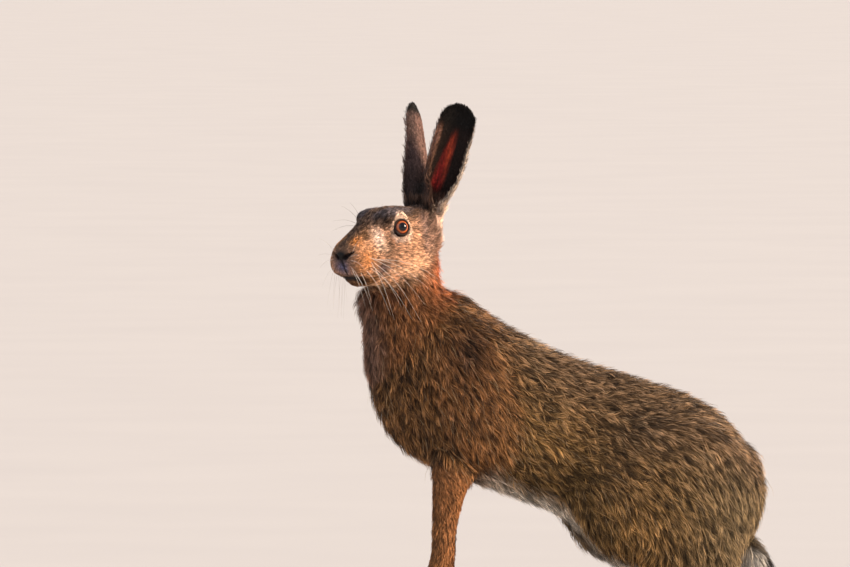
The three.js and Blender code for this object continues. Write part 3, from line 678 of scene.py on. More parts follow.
def markings_and_painted_light(points, normal, belongs):
    """The coat's colour at each place, painted light and shade included, and the shares of its hairs that
    are tipped black and pale.
    """
    at = points / mm
    q = on_head(points)
    part = {name: belongs[:, k] for k, name in enumerate(PARTS)}
    undyed = np.zeros((len(at), 3))
    everywhere = np.ones(len(at))
    above = ramp(normal[:, 2], -0.05, 0.65)
    below = fade(normal[:, 2], -0.9, -0.55) * ramp(at[:, 0], -110, -50)

    trunk = laid_over(
        undyed,
        (everywhere, 142, 107, 60),
        (ramp(at[:, 0], 60, 190), 132, 112, 80),
        (above, 137, 108, 77),
        (fade(at[:, 0], -90, -30), 132, 91, 50),
        (below, 226, 214, 196),
    )
    black = 0.30 + 0.32 * above - 0.3 * below
    pale = 0.20 + 0.12 * above

    breast = laid_over(
        undyed,
        (everywhere, 132, 86, 48),
        (blob(at, (-112, 0, 345), (34, 60, 34)) * 0.8, 168, 98, 60),
        (blob(at, (-109, -8, 353), (27, 44, 28)), 222, 120, 64),
        # Painted bluish skylight on the breast where it faces forward.
        (fade(normal[:, 0], -0.9, -0.45) * 0.75, 150, 112, 92),
        (blob(at, (-176, -14, 322), (26, 30, 16)) * 0.8, 104, 66, 42),
    )

    # A dark patch over each shoulder: partly darker fur, partly painted shade.
    shoulder_fur_and_shade = blob(folded(at), (-101, 46, 266), (22, 40, 30)) * 0.85
    breast, trunk = (laid_over(base, (shoulder_fur_and_shade, 52, 33, 20)) for base in (breast, trunk))

    inner = ramp(-normal[:, 1] * np.sign(at[:, 1]), 0.2, 0.8) * ramp(at[:, 2], 30, 60)
    leg = laid_over(
        undyed,
        (everywhere, 168, 112, 66),
        (inner * 0.6, 198, 168, 136),
        # Painted shade in the gaps between the toes.
        (-0.8 * on_toes(points)[0], 84, 52, 32),
        (fade(at[:, 2], 2, 6) * 0.8, 96, 66, 42),
    )

    tail = laid_over(
        undyed,
        (everywhere, 236, 230, 220),
        (ramp(normal[:, 0] + 0.5 * normal[:, 2], 0.15, 0.75), 30, 24, 21),
    )

    side_q = folded(q)
    u, v, w = side_q.T
    behind = 0.7 * (v - u)
    face = laid_over(
        undyed,
        (everywhere, 200, 152, 118),
        (fade(u, 22, 46) * ramp(w, -34, -16), 146, 112, 94),
        (blob(side_q, (46, 22, -32), (30, 14, 13)) * 0.9, 240, 196, 160),
        (blob(side_q, (77, 22, -4), (8, 9, 8)) * 0.95, 124, 90, 68),
        (blob(side_q, (84, 21, -22), (8, 11, 8)) * 1.1, 92, 74, 74),
        (ramp(w, 13, 22) * fade(u, 90, 104), 104, 77, 58),
        # Painted bluish skylight along the top of the crown.
        (ramp(w, 22, 27) * fade(u, 86, 100), 96, 85, 86),
        (fade(v, 3, 9) * ramp(w, 0, 12), 104, 78, 60),
        (blob(side_q, (95, 11, 13), (8, 7, 7)), 112, 78, 48),
        (blob(side_q, (111, 0, 8), (9, 9, 7)), 114, 86, 66),
        (blob(side_q, (107, 10, 7), (6, 5, 8)) * 1.2, 226, 152, 84),
        (blob(side_q, (104, 20, -10), (13, 10, 12)) * 0.95, 184, 120, 66),
        (blob(side_q, (83, 17, 7), (5.5, 8, 9)) * 1.3, 238, 212, 196),
        (blob(side_q, (78, 22, -2), (4, 7, 5)) * 0.7, 226, 196, 170),
        (blob(side_q, (68, 15, 21), (11, 8, 5)) * 0.9, 62, 44, 33),
        # Painted bluish skylight on the front of the muzzle.
        (blob(side_q, (118, 0, -15), (8, 10, 9)) * 1.1, 116, 110, 136),
        (blob(side_q, (110, 15, -15), (8, 6, 8)) * 0.9, 204, 138, 78),
        (fade(w, -30, -24) * ramp(u, 84, 92), 128, 86, 50),
        (fade(w, -39, -34) * fade(u, 88, 100) * ramp(w, -46, -42), 206, 166, 130),
        (blob(side_q, (119, 0, -4), (8, 9.5, 6)) * 1.4, 17, 10, 10),
        (fade(w, -46, -40) * fade(u, 70, 96), 150, 96, 58),
        (ramp(behind, -1, 2) * ramp(w, 0, 12) * 0.95, 50, 37, 28),
        (ramp(behind, -7, -3) * fade(behind, -3, 1) * ramp(w, -26, -8) * 0.5, 120, 100, 96),
        # Painted rim light, a pale cream, along the rear edge of the head.
        (ramp(behind, 8.5, 12.5) * ramp(w, -26, -12), 246, 216, 194),
    )
    for side in SIDES.values():
        distance, turn = eye_polar(q, side)
        around_eye = np.degrees(np.arctan2(q[:, 2] - EYE[2], q[:, 0] - EYE[0]))
        above, under = (np.maximum(np.cos(np.radians(around_eye - a)), 0) for a in (100, -75))
        edge = 1.4 * above + 1.2 * under + 0.7 * np.sin(np.radians(around_eye * 13))
        ring = ramp(distance, 8.5, 10) * ramp(-distance + edge, -15, -12.4)
        tear = (EYE[0] + 10, side * (EYE[1] - 1), EYE[2] - 3)
        face = laid_over(
            face,
            (ring * (0.75 + 0.25 * np.maximum(above, under)), 242, 208, 184),
            (fade(distance, 9.6, 10.4), 46, 28, 22),
            (blob(q, tear, (3.4, 6, 1.9)) * 1.2, 52, 34, 26),
        )
    face = laid_over(
        face,
        (ramp(nostril_depth(q), 0.05, 0.4), 26, 14, 13),
        (fade(lip_distance(q), 0.9, 2.6) * ramp(u, 96, 100), 36, 22, 17),
        (cleft(q), 36, 23, 21),
    )

    share, across, inside = place_in_ear(q)
    hollow = ramp(inside, -0.6, 0.6)
    # A red glow painted down the middle of the cup, with veins, as of light shining through the thin ear
    # from behind.
    red_glow_through_ear = hollow * ramp(share, 0.2, 0.36) * fade(share, 0.6, 0.82)
    red_glow_through_ear *= ramp(-np.abs(across + 0.35 * share - 0.1), 0.3 * share - 0.46, 0.3 * share - 0.2)
    red_glow_through_ear *= 0.62 + 0.38 * np.sin(across * 34 + share * 9) * np.sin(across * 13 - share * 21)
    fringe = np.clip(ramp(across, 0.5, 0.78) + fade(share, 0.16, 0.3), 0, 1)
    front_edge = ramp(across, 0.8, 0.95) * fade(share, 0.7, 0.84) * ramp(share, 0.4, 0.7)
    ear = laid_over(
        undyed,
        (everywhere, 150, 116, 106),
        (fade(share, 0.26, 0.58), 34, 25, 19),
        (fade(across, -0.75, -0.15), 190, 164, 146),
        (ramp(share, 0.84, 0.91), 14, 10, 8),
        # The ear's cup painted near black, as shade.
        (hollow, 32, 18, 12),
        # The painted red glow of light through the ear, brighter and more orange in part.
        (red_glow_through_ear, 182, 46, 42),
        (red_glow_through_ear * ramp(share - across, 0.5, 0.8), 226, 92, 52),
        (hollow * ramp(share, 0.74, 0.86), 14, 9, 7),
        (hollow * fringe * fade(share, 0.76, 0.84), 112, 80, 64),
        ((1 - hollow) * ramp(across, 0.35, 0.75) * 0.8, 66, 50, 48),
        (front_edge * 0.6, 158, 116, 104),
        # Painted rim light, a pale cream, along the ear's rear rim.
        (fade(across, -0.97, -0.86) * fade(share, 0.64, 0.78), 244, 222, 198),
    )

    flanks, foreparts = part["torso"] + part["thigh"], part["neck"] + part["shoulder"]
    ear_tips = 0.15 * part["ear"] * (1 - hollow)
    colour = (
        trunk * flanks[:, None]
        + breast * (part["neck"] + part["shoulder"] * 0.5)[:, None]
        + trunk * (part["shoulder"] * 0.5)[:, None]
        + leg * (part["foreleg"] + part["forefoot"] + part["hindfoot"])[:, None]
        + tail * part["tail"][:, None]
        + face * part["head"][:, None]
        + ear * part["ear"][:, None]
    )
    on_crown = ramp(w, 12, 26)
    black = (
        black * flanks
        + 0.22 * foreparts
        + 0.10 * (part["foreleg"] + part["hindfoot"])
        + (0.22 + 0.26 * on_crown + 0.12 * fade(u, 16, 46)) * part["head"]
        + ear_tips
    )
    pale = pale * flanks + 0.14 * foreparts + (0.18 + 0.16 * on_crown) * part["head"] + ear_tips
    return colour, black, pale


def colour_corners(mesh, name, colours):
    """Colours kept at a mesh's corners, for its finish to read."""
    kept = mesh.color_attributes.new(name, "FLOAT_COLOR", "POINT")
    kept.data.foreach_set("color", np.concatenate([colours, np.ones((len(colours), 1))], 1).ravel())


colour, black_share, pale_share = markings_and_painted_light(points, normal, belongs)
bare = np.maximum(part_share(belongs, "ear"), ramp(nostril_depth(q), 0.02, 0.2))
colour_corners(skin_mesh, "marking", colour * (0.55 + 0.45 * bare)[:, None])


def kept_colour(tree, name):
    """The colour kept under that name at a mesh's corners."""
    return node(tree, "Attribute", {}, attribute_name=name)["Color"]


def shaded(tree, colour, shade):
    """That colour, darker and lighter by the shade."""
    return node(tree, "VectorMath", {0: colour, "Scale": shade}, operation="SCALE")["Vector"]


hide_finish, tree, shader = new_finish("hide")
pores = grained(tree, 900, 4, darkest=0.7, lightest=1.25, depth=0.4)
feed(tree, shader, {
    "Base Color": shaded(tree, kept_colour(tree, "marking"), pores["Shade"]),
    "Roughness": 0.6, "Specular IOR Level": 0.25, "Normal": pores["Normal"],
})
skin_mesh.materials.clear()
skin_mesh.materials.append(hide_finish)
skin_mesh.shade_smooth()
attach(skin, "root")
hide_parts(*FLESH)

# The eyes.
# Each is a clear wet ball over an amber iris and a round black pupil, set in its socket and
# turned a little ahead of straight out. Its clear front stands a touch proud.
BALL_RADIUS = 9.0
FRONT_PROUD = 0.9
FRONT_REACH = 48
EYE_MAP_WIDTH = 20 * mm


def at_eye(side):
    """Takes a form whose Z axis is the way the eye looks to its place in the head."""
    looks = Vector(eye_looks(side) @ head_axes)
    centre = Vector(off_head(mirrored(EYE, side)))
    return Matrix.Translation(centre) @ looks.to_track_quat("Z", "Y").to_matrix().to_4x4()


eye_finish, tree, shader = new_finish("eye")
eye_map = node(tree, "UVMap", {}, uv_map="pupil_centred")["UV"]
from_pupil = node(tree, "VectorMath", {0: eye_map, 1: (0.5, 0.5, 0)}, operation="SUBTRACT")["Vector"]
pupil_distance = node(tree, "VectorMath", {0: from_pupil}, operation="LENGTH")["Value"]
spoke = node(tree, "VectorMath", {0: from_pupil}, operation="NORMALIZE")["Vector"]
fibres = node(tree, "TexNoise", {"Vector": spoke, "Scale": 9, "Detail": 5})["Fac"]
fibre_shade = node(tree, "MapRange", {
    "Value": fibres, "From Min": 0.3, "From Max": 0.7, "To Min": 0.6, "To Max": 1.35,
})["Result"]
iris = tree.nodes.new("ShaderNodeValToRGB")
stops = (
    (0.185, 2, 1, 3), (0.215, 84, 38, 14), (0.245, 196, 108, 56), (0.285, 174, 86, 43),
    (0.312, 116, 52, 24), (0.335, 18, 10, 8), (0.5, 44, 28, 24),
)
while len(iris.color_ramp.elements) < len(stops):
    iris.color_ramp.elements.new(0.5)
for stop, (distance, *stop_colour) in zip(iris.color_ramp.elements, stops):
    stop.position = distance
    stop.color = (*linear(*stop_colour), 1)
feed(tree, iris, {"Fac": pupil_distance})
feed(tree, shader, {
    "Base Color": shaded(tree, iris.outputs["Color"], fibre_shade),
    "Roughness": 0.15, "Specular IOR Level": 0.1, "Coat Weight": 0.8, "Coat Roughness": 0.1,
})

for name, side in SIDES.items():
    ball = bmesh.new()
    bmesh.ops.create_uvsphere(ball, u_segments=64, v_segments=40, radius=BALL_RADIUS * mm)
    flat_map = ball.loops.layers.uv.new("pupil_centred")
    for v in ball.verts:
        turn = math.degrees(math.acos(max(-1, min(1, v.co.z / (BALL_RADIUS * mm)))))
        v.co *= 1 + FRONT_PROUD / BALL_RADIUS * float(fade(turn, 8, FRONT_REACH))
    for face in ball.faces:
        for loop in face.loops:
            across_eye = loop.vert.co / EYE_MAP_WIDTH
            loop[flat_map].uv = (0.5 + across_eye.x, 0.5 + across_eye.y)
    bmesh.ops.transform(ball, matrix=at_eye(side), verts=ball.verts)
    eyeball = piece("eyeball_" + name, mesh_of("eyeball_" + name, ball), eye_finish)
    eyeball.data.shade_smooth()
    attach(eyeball, "root")
    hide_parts("eye_" + name)

# The lid rims.
# A dark, bare, slightly wet edge of skin runs round each eye, drawn out to a point at the tear
# corner in front and to a blunter one behind.
RIM_RADIUS = 9.6
RIM_TURN = 53
RIM_THICK = 1.1
RING_RADIUS = 20 * mm
RIM_STEPS = 72

lid_finish, tree, shader = new_finish("lid_rim")
wrinkles = grained(tree, 1400, 3, depth=0.3)
feed(tree, shader, {
    "Base Color": between(tree, wrinkles["Mask"], (14, 9, 8), (44, 28, 22)),
    "Roughness": 0.42, "Specular IOR Level": 0.3, "Normal": wrinkles["Normal"],
})

for name, side in SIDES.items():
    rim = bmesh.new()
    ring = bmesh.ops.create_circle(rim, segments=10, radius=RIM_THICK * mm)["verts"]
    bmesh.ops.rotate(rim, verts=ring, cent=(0, 0, 0), matrix=Matrix.Rotation(math.pi / 2, 3, "X"))
    bmesh.ops.translate(rim, verts=ring, vec=(RING_RADIUS, 0, 0))
    bmesh.ops.spin(
        rim, geom=rim.verts[:] + rim.edges[:], cent=(0, 0, 0), axis=(0, 0, 1), angle=2 * math.pi,
        steps=RIM_STEPS, use_merge=True,
    )
    for v in rim.verts:
        outwards = math.hypot(v.co.x, v.co.y) - RING_RADIUS
        around = math.degrees(math.atan2(v.co.y, -side * v.co.x))
        front = math.exp(-((around + 8) / 15) ** 2)
        rear = math.exp(-((abs(around) - 180) / 18) ** 2)
        turn = math.radians(RIM_TURN + 13 * front + 5 * rear)
        radius = RIM_RADIUS * mm + v.co.z * 0.8
        way_out = Vector((v.co.x, v.co.y)).normalized()
        level = radius * math.sin(turn) + outwards * math.cos(turn)
        height = radius * math.cos(turn) - outwards * math.sin(turn)
        v.co = Vector((way_out.x * level, way_out.y * level, height))
    bmesh.ops.transform(rim, matrix=at_eye(side), verts=rim.verts)
    bmesh.ops.recalc_face_normals(rim, faces=rim.faces)
    lid_rim = piece("lid_rim_" + name, mesh_of("lid_rim_" + name, rim), lid_finish)
    lid_rim.data.shade_smooth()
    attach(lid_rim, "root")

# The coat, tuft by tuft.
# Each tuft is a thin pointed blade rooted in the skin, which rises, bends over and lies along
# the body, with its tip drawn to those of its lock. It is darkest at the root.
SLOTS = {
    "back": ("back_coat", ("torso", "thigh")),
    "breast": ("breast_coat", ("neck", "shoulder")),
    "face": ("face_coat", ("head",)),
    "ears": ("ear_coat", ("ear",)),
    "legs": ("leg_coat", ("foreleg", "forefoot", "hindfoot")),
    "tail": ("tail_coat", ("tail",)),
}
# For each part: tufts per mm2; their length, width and rise over the skin in mm; the size of a
# lock in mm and how far it draws its tips together; how uneven the locks' shades are; the share
# of guard hairs.
COAT = {
    "head": (3.3, 8.0, 0.36, 2.6, 1.4, 0.25, 0.26, 0),
    "ear": (1.8, 4.2, 0.40, 0.9, 1.8, 0.15, 0.16, 0),
    "neck": (1.35, 16, 0.46, 8.5, 2.6, 0.42, 0.32, 0.004),
    "torso": (0.62, 19, 0.54, 10, 3.4, 0.48, 0.48, 0.008),
    "tail": (1.3, 24, 0.60, 9.0, 4.0, 0.30, 0.12, 0),
    "shoulder": (1.0, 18, 0.50, 9.0, 3.0, 0.46, 0.36, 0.007),
    "foreleg": (0.95, 9, 0.50, 3.2, 2.4, 0.30, 0.18, 0),
    "forefoot": (1.0, 6.5, 0.50, 2.2, 2.2, 0.25, 0.16, 0),
    "thigh": (0.62, 19, 0.54, 9.5, 3.4, 0.48, 0.38, 0.01),
    "hindfoot": (0.8, 7.5, 0.55, 2.4, 2.4, 0.25, 0.16, 0),
}
LOCK_STRETCH = 0.45
LOCK_CHOICE = 6
PIECE_TUFTS = 39800
PATCH = 0.003
BLADE = (0, 0.34, 0.68, 1)
BLADE_WIDTH = (0.75, 1, 0.72)
FLOOR_CLEAR = 0.3 * mm
thin_out = 1
chance = np.random.default_rng(7)

triangles = read(skin_mesh.loop_triangles, "vertices", 3, int)
corner_a, corner_b, corner_c = (points[triangles[:, k]] for k in range(3))
straight_out = np.cross(corner_b - corner_a, corner_c - corner_a)
triangle_area = np.linalg.norm(straight_out, axis=1) / 2 / mm ** 2
triangle_normal = unit(straight_out)
triangle_part = belongs[triangles].mean(1)
slot_share = [part_share(triangle_part, *parts) for _, parts in SLOTS.values()]
triangle_slot = np.stack(slot_share, 1).argmax(1)
skin_tree = BVHTree.FromPolygons(points.tolist(), triangles.tolist())


def by_part(belongs, column):
    """That column of the coat's table, blended where parts meet."""
    return belongs @ np.array([COAT[name][column] for name in PARTS], float)


def hair_room(q, belongs):
    """0 where no hair grows: on the eyes and lid rims, in the nostrils and on the lips' edges."""
    room = np.ones(len(q))
    for side in SIDES.values():
        distance, turn = eye_polar(q, side)
        room *= 1 - (distance < 14) * (turn < LID_OPENING + 2.5)
    room *= nostril_depth(q) < 0.04
    room *= 1 - (lip_distance(q) < 0.8) * (q[:, 0] > 98)
    room *= blob(q, (120, 0, -4), (8, 8.5, 5)) < 0.5
    return np.where(part_share(belongs, "head") > 0.4, room, 1)


def length_on_head(q):
    """The hair's length in mm: shortest on the nose and lids, longest on the cheeks and throat."""
    length = np.interp(q[:, 0], (0, 30, 60, 80, 98, 112, 122), (12, 9.5, 7.5, 5.5, 3.6, 2.4, 1.7))
    length += 2.5 * fade(q[:, 2], -34, -14) * fade(q[:, 0], 70, 95)
    for side in SIDES.values():
        length += 8 * fade(by_ear(q, side), 15, 27)
        length *= 0.28 + 0.72 * ramp(eye_polar(q, side)[0], 10, 20)
    return length


def rim_of_ear(share, across):
    """1 on the rims of an ear and round its tip."""
    return np.maximum(ramp(np.abs(across), 0.78, 1.0), ramp(share, 0.92, 0.98))


def length_on_ear(share, across, inside):
    """The hair's length in mm: short on the back, longer within the rims and over the cup's foot."""
    hollow = ramp(inside, -0.6, 0.6)
    length = 4.2 - 2.0 * hollow
    length += hollow * 6.5 * ramp(across, 0.4, 0.75) * fade(share, 0.64, 0.84)
    length += hollow * 10 * fade(share, 0.12, 0.36)
    length += 3.4 * rim_of_ear(share, across) * (1 - 0.9 * ramp(share, 0.88, 0.97))
    return length + 6 * fade(share, 0, 0.16)


def stands_on_ear(share, across, inside):
    """How far the hair stands off in mm: a little along the rims, more in the fringe over the cup."""
    over_cup = np.clip(ramp(across, 0.4, 0.75) + fade(share, 0.12, 0.36), 0, 1)
    fringe = ramp(inside, -0.6, 0.6) * over_cup
    rim = rim_of_ear(share, across) * (1 - 0.8 * ramp(share, 0.88, 0.97))
    return 0.9 + 2.4 * fringe + 3.6 * rim + 2 * fade(share, 0, 0.16)


def scatter(density, rng):
    """Places strewn evenly over the skin, as triangles and shares of their corners."""
    total = np.cumsum(triangle_area * density)
    count = int(total[-1])
    picked = np.searchsorted(total, (np.arange(count) + rng.random(count)) / count * total[-1])
    picked = np.minimum(picked, len(triangles) - 1)
    a, b = rng.random(count), rng.random(count)
    fold = a + b > 1
    a, b = np.where(fold, 1 - a, a), np.where(fold, 1 - b, b)
    return picked, np.stack([1 - a - b, a, b], 1)


def at_roots(values, picked, shares):
    """The skin's values at those places."""
    return (values[triangles[picked]] * shares[:, :, None]).sum(1)


def hug(places, height):
    """Moves points to that height over the skin, straight out from what is nearest."""
    moved = np.empty_like(places)
    for i, p in enumerate(places):
        near, _, k, _ = skin_tree.find_nearest(p)
        moved[i] = near
        moved[i] += triangle_normal[k] * height[i]
    return moved


triangle_q = on_head(points[triangles].mean(1))
density = by_part(triangle_part, 0) * hair_room(triangle_q, triangle_part) * thin_out
picked, shares = scatter(density, chance)
root = at_roots(points, picked, shares)
up = unit(at_roots(normal, picked, shares))
lie = along(at_roots(way, picked, shares), up)
part = at_roots(belongs, picked, shares)
q = on_head(root)
room = hair_room(q, part) > 0.5
picked, shares, root, up, lie, part, q = (a[room] for a in (picked, shares, root, up, lie, part, q))

at = root / mm
on_face, on_ear = part_share(part, "head"), part_share(part, "ear")
in_ear = place_in_ear(q)
toe_tip = on_toes(root)[1] * (1 - on_face)
length = by_part(part, 1)
length += on_face * (length_on_head(q) - COAT["head"][1])
length += on_ear * (length_on_ear(*in_ear) - COAT["ear"][1])
rise = by_part(part, 3)
rise += on_face * (length * (0.24 + 0.22 * ramp(q[:, 2], 18, 28)) - COAT["head"][3])
rise += 5 * blob(q, (-14, 0, -18), (14, 24, 16)) * on_face
rise += 6 * blob(at, (-112, 2, 356), (20, 40, 18))
width = by_part(part, 2)
width *= 1 - 0.25 * on_face * fade(length, 2, 5)
rise += on_ear * (stands_on_ear(*in_ear) - COAT["ear"][3])
rise += 7 * blob(at, (-196, -6, 314), (16, 34, 13))
length += 4.5 * toe_tip
rise += 1.5 * toe_tip
pull = by_part(part, 5)
pull += 0.55 * on_ear * rim_of_ear(*in_ear[:2]) * ramp(in_ear[0], 0.5, 0.7)
uneven = by_part(part, 6)
uneven += on_face * (0.14 + 0.2 * ramp(q[:, 2], 8, 22))
guard_share = by_part(part, 7) * (1 + 1.5 * blob(at, (-70, -50, 190), (70, 60, 60)))
is_guard = chance.random(len(root)) < guard_share
length *= np.where(is_guard, 1.75, 1)
rise *= np.where(is_guard, 1.5, 1)
width *= np.where(is_guard, 0.48, 1)
pull = np.where(is_guard, 0, pull)
colour, black_share, pale_share = markings_and_painted_light(root, up, part)

# Locks: neighbouring tufts share a direction, a length and a shade.
lock_size = by_part(triangle_part, 4)
lock_at, lock_shares = scatter(1 / lock_size ** 2, chance)
lock_root = at_roots(points, lock_at, lock_shares)
locks = kdtree.KDTree(len(lock_root))
for i, p in enumerate(lock_root):
    locks.insert(p, i)
locks.balance()
near = np.array([[i for _, i, _ in locks.find_n(p, LOCK_CHOICE)] for p in root])
offset = lock_root[near] - root[:, None]
along_hair = (offset * lie[:, None]).sum(2)
lengthwise = (offset ** 2).sum(2) - (1 - LOCK_STRETCH ** 2) * along_hair ** 2
lock = near[np.arange(len(root)), lengthwise.argmin(1)]
two_nearest = np.sort(lengthwise, 1)[:, :2]
crest = ramp(1 - np.sqrt(two_nearest[:, 0] / two_nearest[:, 1]), 0.05, 0.6)
lock_turn = chance.normal(0, 1, len(lock_root))[lock]
lock_long = chance.uniform(-1, 1, len(lock_root))[lock]
lock_high = chance.uniform(0.55, 1.05, len(lock_root))[lock] * (0.75 + 0.25 * crest)
lock_shade = chance.normal(0, 1, len(lock_root))[lock]
lock_up = unit(at_roots(normal, lock_at, lock_shares))
lock_lie = along(at_roots(way, lock_at, lock_shares), lock_up)[lock]
lock_up = lock_up[lock]


def turned(way, up, angle):
    """Directions turned about the way out of the skin."""
    return way * np.cos(angle)[:, None] + np.cross(up, way) * np.sin(angle)[:, None]


count = len(root)
wavy = blob(at, (-85, 0, 315), (55, 90, 45)) + 0.5 * part_share(part, "torso")
wander = np.radians(10 + 10 * pull + 10 * np.minimum(wavy, 1))
own_lie = turned(lie, up, lock_turn * wander + chance.normal(0, 1, count) * np.radians(8))
lock_curl = chance.normal(0, 1, len(lock_root))[lock]
lock_curl = lock_curl * 0.34 * (np.minimum(wavy, 1) + 0.25 * (1 - on_face))
own_length = length * (1 + 0.16 * lock_long) * chance.uniform(0.7, 1.06, count) * mm
own_rise = rise * lock_high * chance.uniform(0.4, 1.0, count) * mm
lock_tip = lock_root[lock] + turned(lock_lie, lock_up, lock_turn * wander) * (own_length * 0.92)[:, None]
short = length < 6
spine = [root - up * 0.4 * mm]
for t in BLADE[1:]:
    drawn = (pull * t ** 1.5)[:, None]
    target = lock_root[lock] + (lock_tip - lock_root[lock]) * t
    bent = (root + own_lie * (own_length * t)[:, None]) * (1 - drawn) + target * drawn
    bent += np.cross(up, own_lie) * (own_length * lock_curl * (t - t ** 2))[:, None]
    high = own_rise * (1 - (1 - t) ** 1.8)
    lifted = bent + up * high[:, None]
    lifted[~short] = hug(bent[~short], high[~short])
    spine.append(lifted)
for row in spine:
    row[:, 2] = np.maximum(row[:, 2], FLOOR_CLEAR)

roll = chance.normal(0, 0.45, count)
across = unit(np.cross(own_lie, up))
across = across * np.cos(roll)[:, None] + up * np.sin(roll)[:, None]
half = width * chance.uniform(0.7, 1.15, count) * mm / 2

shade = 1 + 0.12 * chance.normal(0, 1, count) + uneven * lock_shade
# Hairs in the gaps between locks are painted darker as shade, and hairs on a lock's crest a little
# lighter, as lit.
shade = np.clip(shade, 0.4, 1.75) * (1 - uneven * (1.6 - 1.1 * on_face) * (1 - crest) + uneven * 0.4)
pick = chance.random(count) + uneven * lock_shade
is_black, is_pale, guard = (a[:, None] for a in (pick < black_share, pick > 1 - pale_share, is_guard))
band = colour * shade[:, None]
guard_colour = np.array(linear(214, 183, 142))
tip_colour = np.where(is_black, band * 0.1 + 0.003, np.where(is_pale, band * 1.5 + 0.07, band * 1.15))
tip_colour = np.where(guard, guard_colour, tip_colour)
middle = np.where(is_black, band * 0.55, np.where(is_pale, band * 1.25 + 0.02, band))
middle = np.where(guard, guard_colour * 0.75, middle)
shades = (band * 0.2, band * 0.5, middle, tip_colour)

hair_finish, tree, shader = new_finish("hair")
streaks = grained(tree, 260, 2, darkest=0.82, lightest=1.18)
dull = node(tree, "MapRange", {"Value": streaks["Mask"], "To Min": 0.5, "To Max": 0.75})["Result"]
feed(tree, shader, {
    "Base Color": shaded(tree, kept_colour(tree, "strand"), streaks["Shade"]),
    "Roughness": dull, "Specular IOR Level": 0.2, "Sheen Weight": 0.04, "Sheen Roughness": 0.4,
})


def blades(name, spine, across, half, shades, root_uv):
    """Thin pointed blades, with their colours and their patches on the skin's unwrap."""
    n, steps = len(across), len(spine) - 1
    rows = []
    for k, blade_width in enumerate(BLADE_WIDTH):
        reach = across * (half * blade_width)[:, None]
        rows += [spine[k] - reach, spine[k] + reach]
    verts = np.stack([*rows, spine[-1]], 1).reshape(-1, 3)
    pattern = [(k + a, k + b, k + c) for k in (0, 2) for a, b, c in ((0, 1, 3), (0, 3, 2))] + [(4, 5, 6)]
    faces = (np.arange(n)[:, None, None] * (2 * steps + 1) + np.array(pattern)).reshape(-1, 3)
    mesh = bpy.data.meshes.new(name)
    mesh.vertices.add(len(verts))
    mesh.vertices.foreach_set("co", verts.ravel())
    mesh.loops.add(faces.size)
    mesh.loops.foreach_set("vertex_index", faces.ravel().astype(np.int32))
    mesh.polygons.add(len(faces))
    mesh.polygons.foreach_set("loop_start", np.arange(0, faces.size, 3, dtype=np.int32))
    mesh.update(calc_edges=True)
    per_corner = [shade for shade in shades[:-1] for _ in range(2)] + [shades[-1]]
    colour_corners(mesh, "strand", np.stack(per_corner, 1).reshape(-1, 3))
    up_blade = [(x, k / steps) for k in range(steps) for x in (0, 1)] + [(0.5, 1)]
    in_patch = (np.array(up_blade) * PATCH * 0.92)[pattern]
    patch_at = np.floor(root_uv / PATCH) * PATCH
    baked = mesh.uv_layers.new(name="OFBake")
    baked.data.foreach_set("uv", (patch_at[:, None, None] + in_patch).ravel())
    mesh.shade_smooth()
    return mesh


def unwrap(chosen_triangles):
    """The unwrap of a part of the skin, filling the square: the corners' places for each triangle."""
    used, renumbered = np.unique(triangles[chosen_triangles], return_inverse=True)
    mesh = bpy.data.meshes.new("unwrap")
    mesh.from_pydata(points[used].tolist(), [], renumbered.reshape(-1, 3).tolist())
    flat = piece("unwrap", mesh)
    bpy.context.view_layer.objects.active = flat
    bpy.ops.object.select_all(action="DESELECT")
    flat.select_set(True)
    bpy.ops.object.mode_set(mode="EDIT")
    bpy.ops.mesh.select_all(action="SELECT")
    bpy.ops.uv.smart_project(angle_limit=math.radians(72), island_margin=0.004)
    bpy.ops.object.mode_set(mode="OBJECT")
    uv = read(mesh.uv_layers.active.data, "uv", 2).reshape(-1, 3, 2)
    bpy.data.objects.remove(flat)
    bpy.data.meshes.remove(mesh)
    return uv


for number, (name, (slot, _)) in enumerate(SLOTS.items()):
    members = np.flatnonzero(triangle_slot == number)
    place_in = np.full(len(triangles), -1)
    place_in[members] = np.arange(len(members))
    uv = unwrap(members)
    tufts = np.flatnonzero(triangle_slot[picked] == number)
    root_uv = (uv[place_in[picked[tufts]]] * shares[tufts][:, :, None]).sum(1)
    pieces_needed = math.ceil(len(tufts) / PIECE_TUFTS)
    for k in range(pieces_needed):
        label = f"coat_{name}_{k + 1}" if pieces_needed > 1 else f"coat_{name}"
        some = tufts[k::pieces_needed]
        made = blades(
            label, [row[some] for row in spine], across[some], half[some],
            [row[some] for row in shades], root_uv[k::pieces_needed],
        )
        coat = piece(label, made, hair_finish)
        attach(coat, "root")

# Whiskers and brow hairs.
# Stiff tapered bristles grow in rows from both sides of the muzzle, and a few over each eye,
# and sweep out and back. Each has its root and its tip, in mm ahead, out and up on the head.
MUZZLE_BRISTLES = (
    ((92.9, 18.5, -15.2), (72, 55, -78)),
    ((96.2, 18.5, -17.6), (84.1, 42, -61)),
    ((99.3, 18.5, -19.1), (79, 50, -74)),
    ((98.3, 18.5, -13.2), (94, 40, -72)),
    ((105.2, 18.5, -20.0), (94.0, 36, -68)),
    ((100.5, 18.5, -8.7), (64, 55, -62)),
    ((89.7, 18.5, -12.7), (40, 64, -46)),
    ((96.5, 18.5, -10.4), (58, 58, -48)),
    ((111.0, 17, -21.0), (110, 27, -52)),
    ((114.6, 13, -0.8), (118, 30, 13)),
    ((118.0, 13, -4.3), (121, 31, -4)),
    ((119.3, 13, -15.9), (121, 29, -35)),
    ((118.2, 13, -18.1), (119, 27, -55)),
    ((114.0, 13, -24.3), (110.7, 28, -60)),
    ((117.2, 13, -8.5), (119, 32, -17)),
)
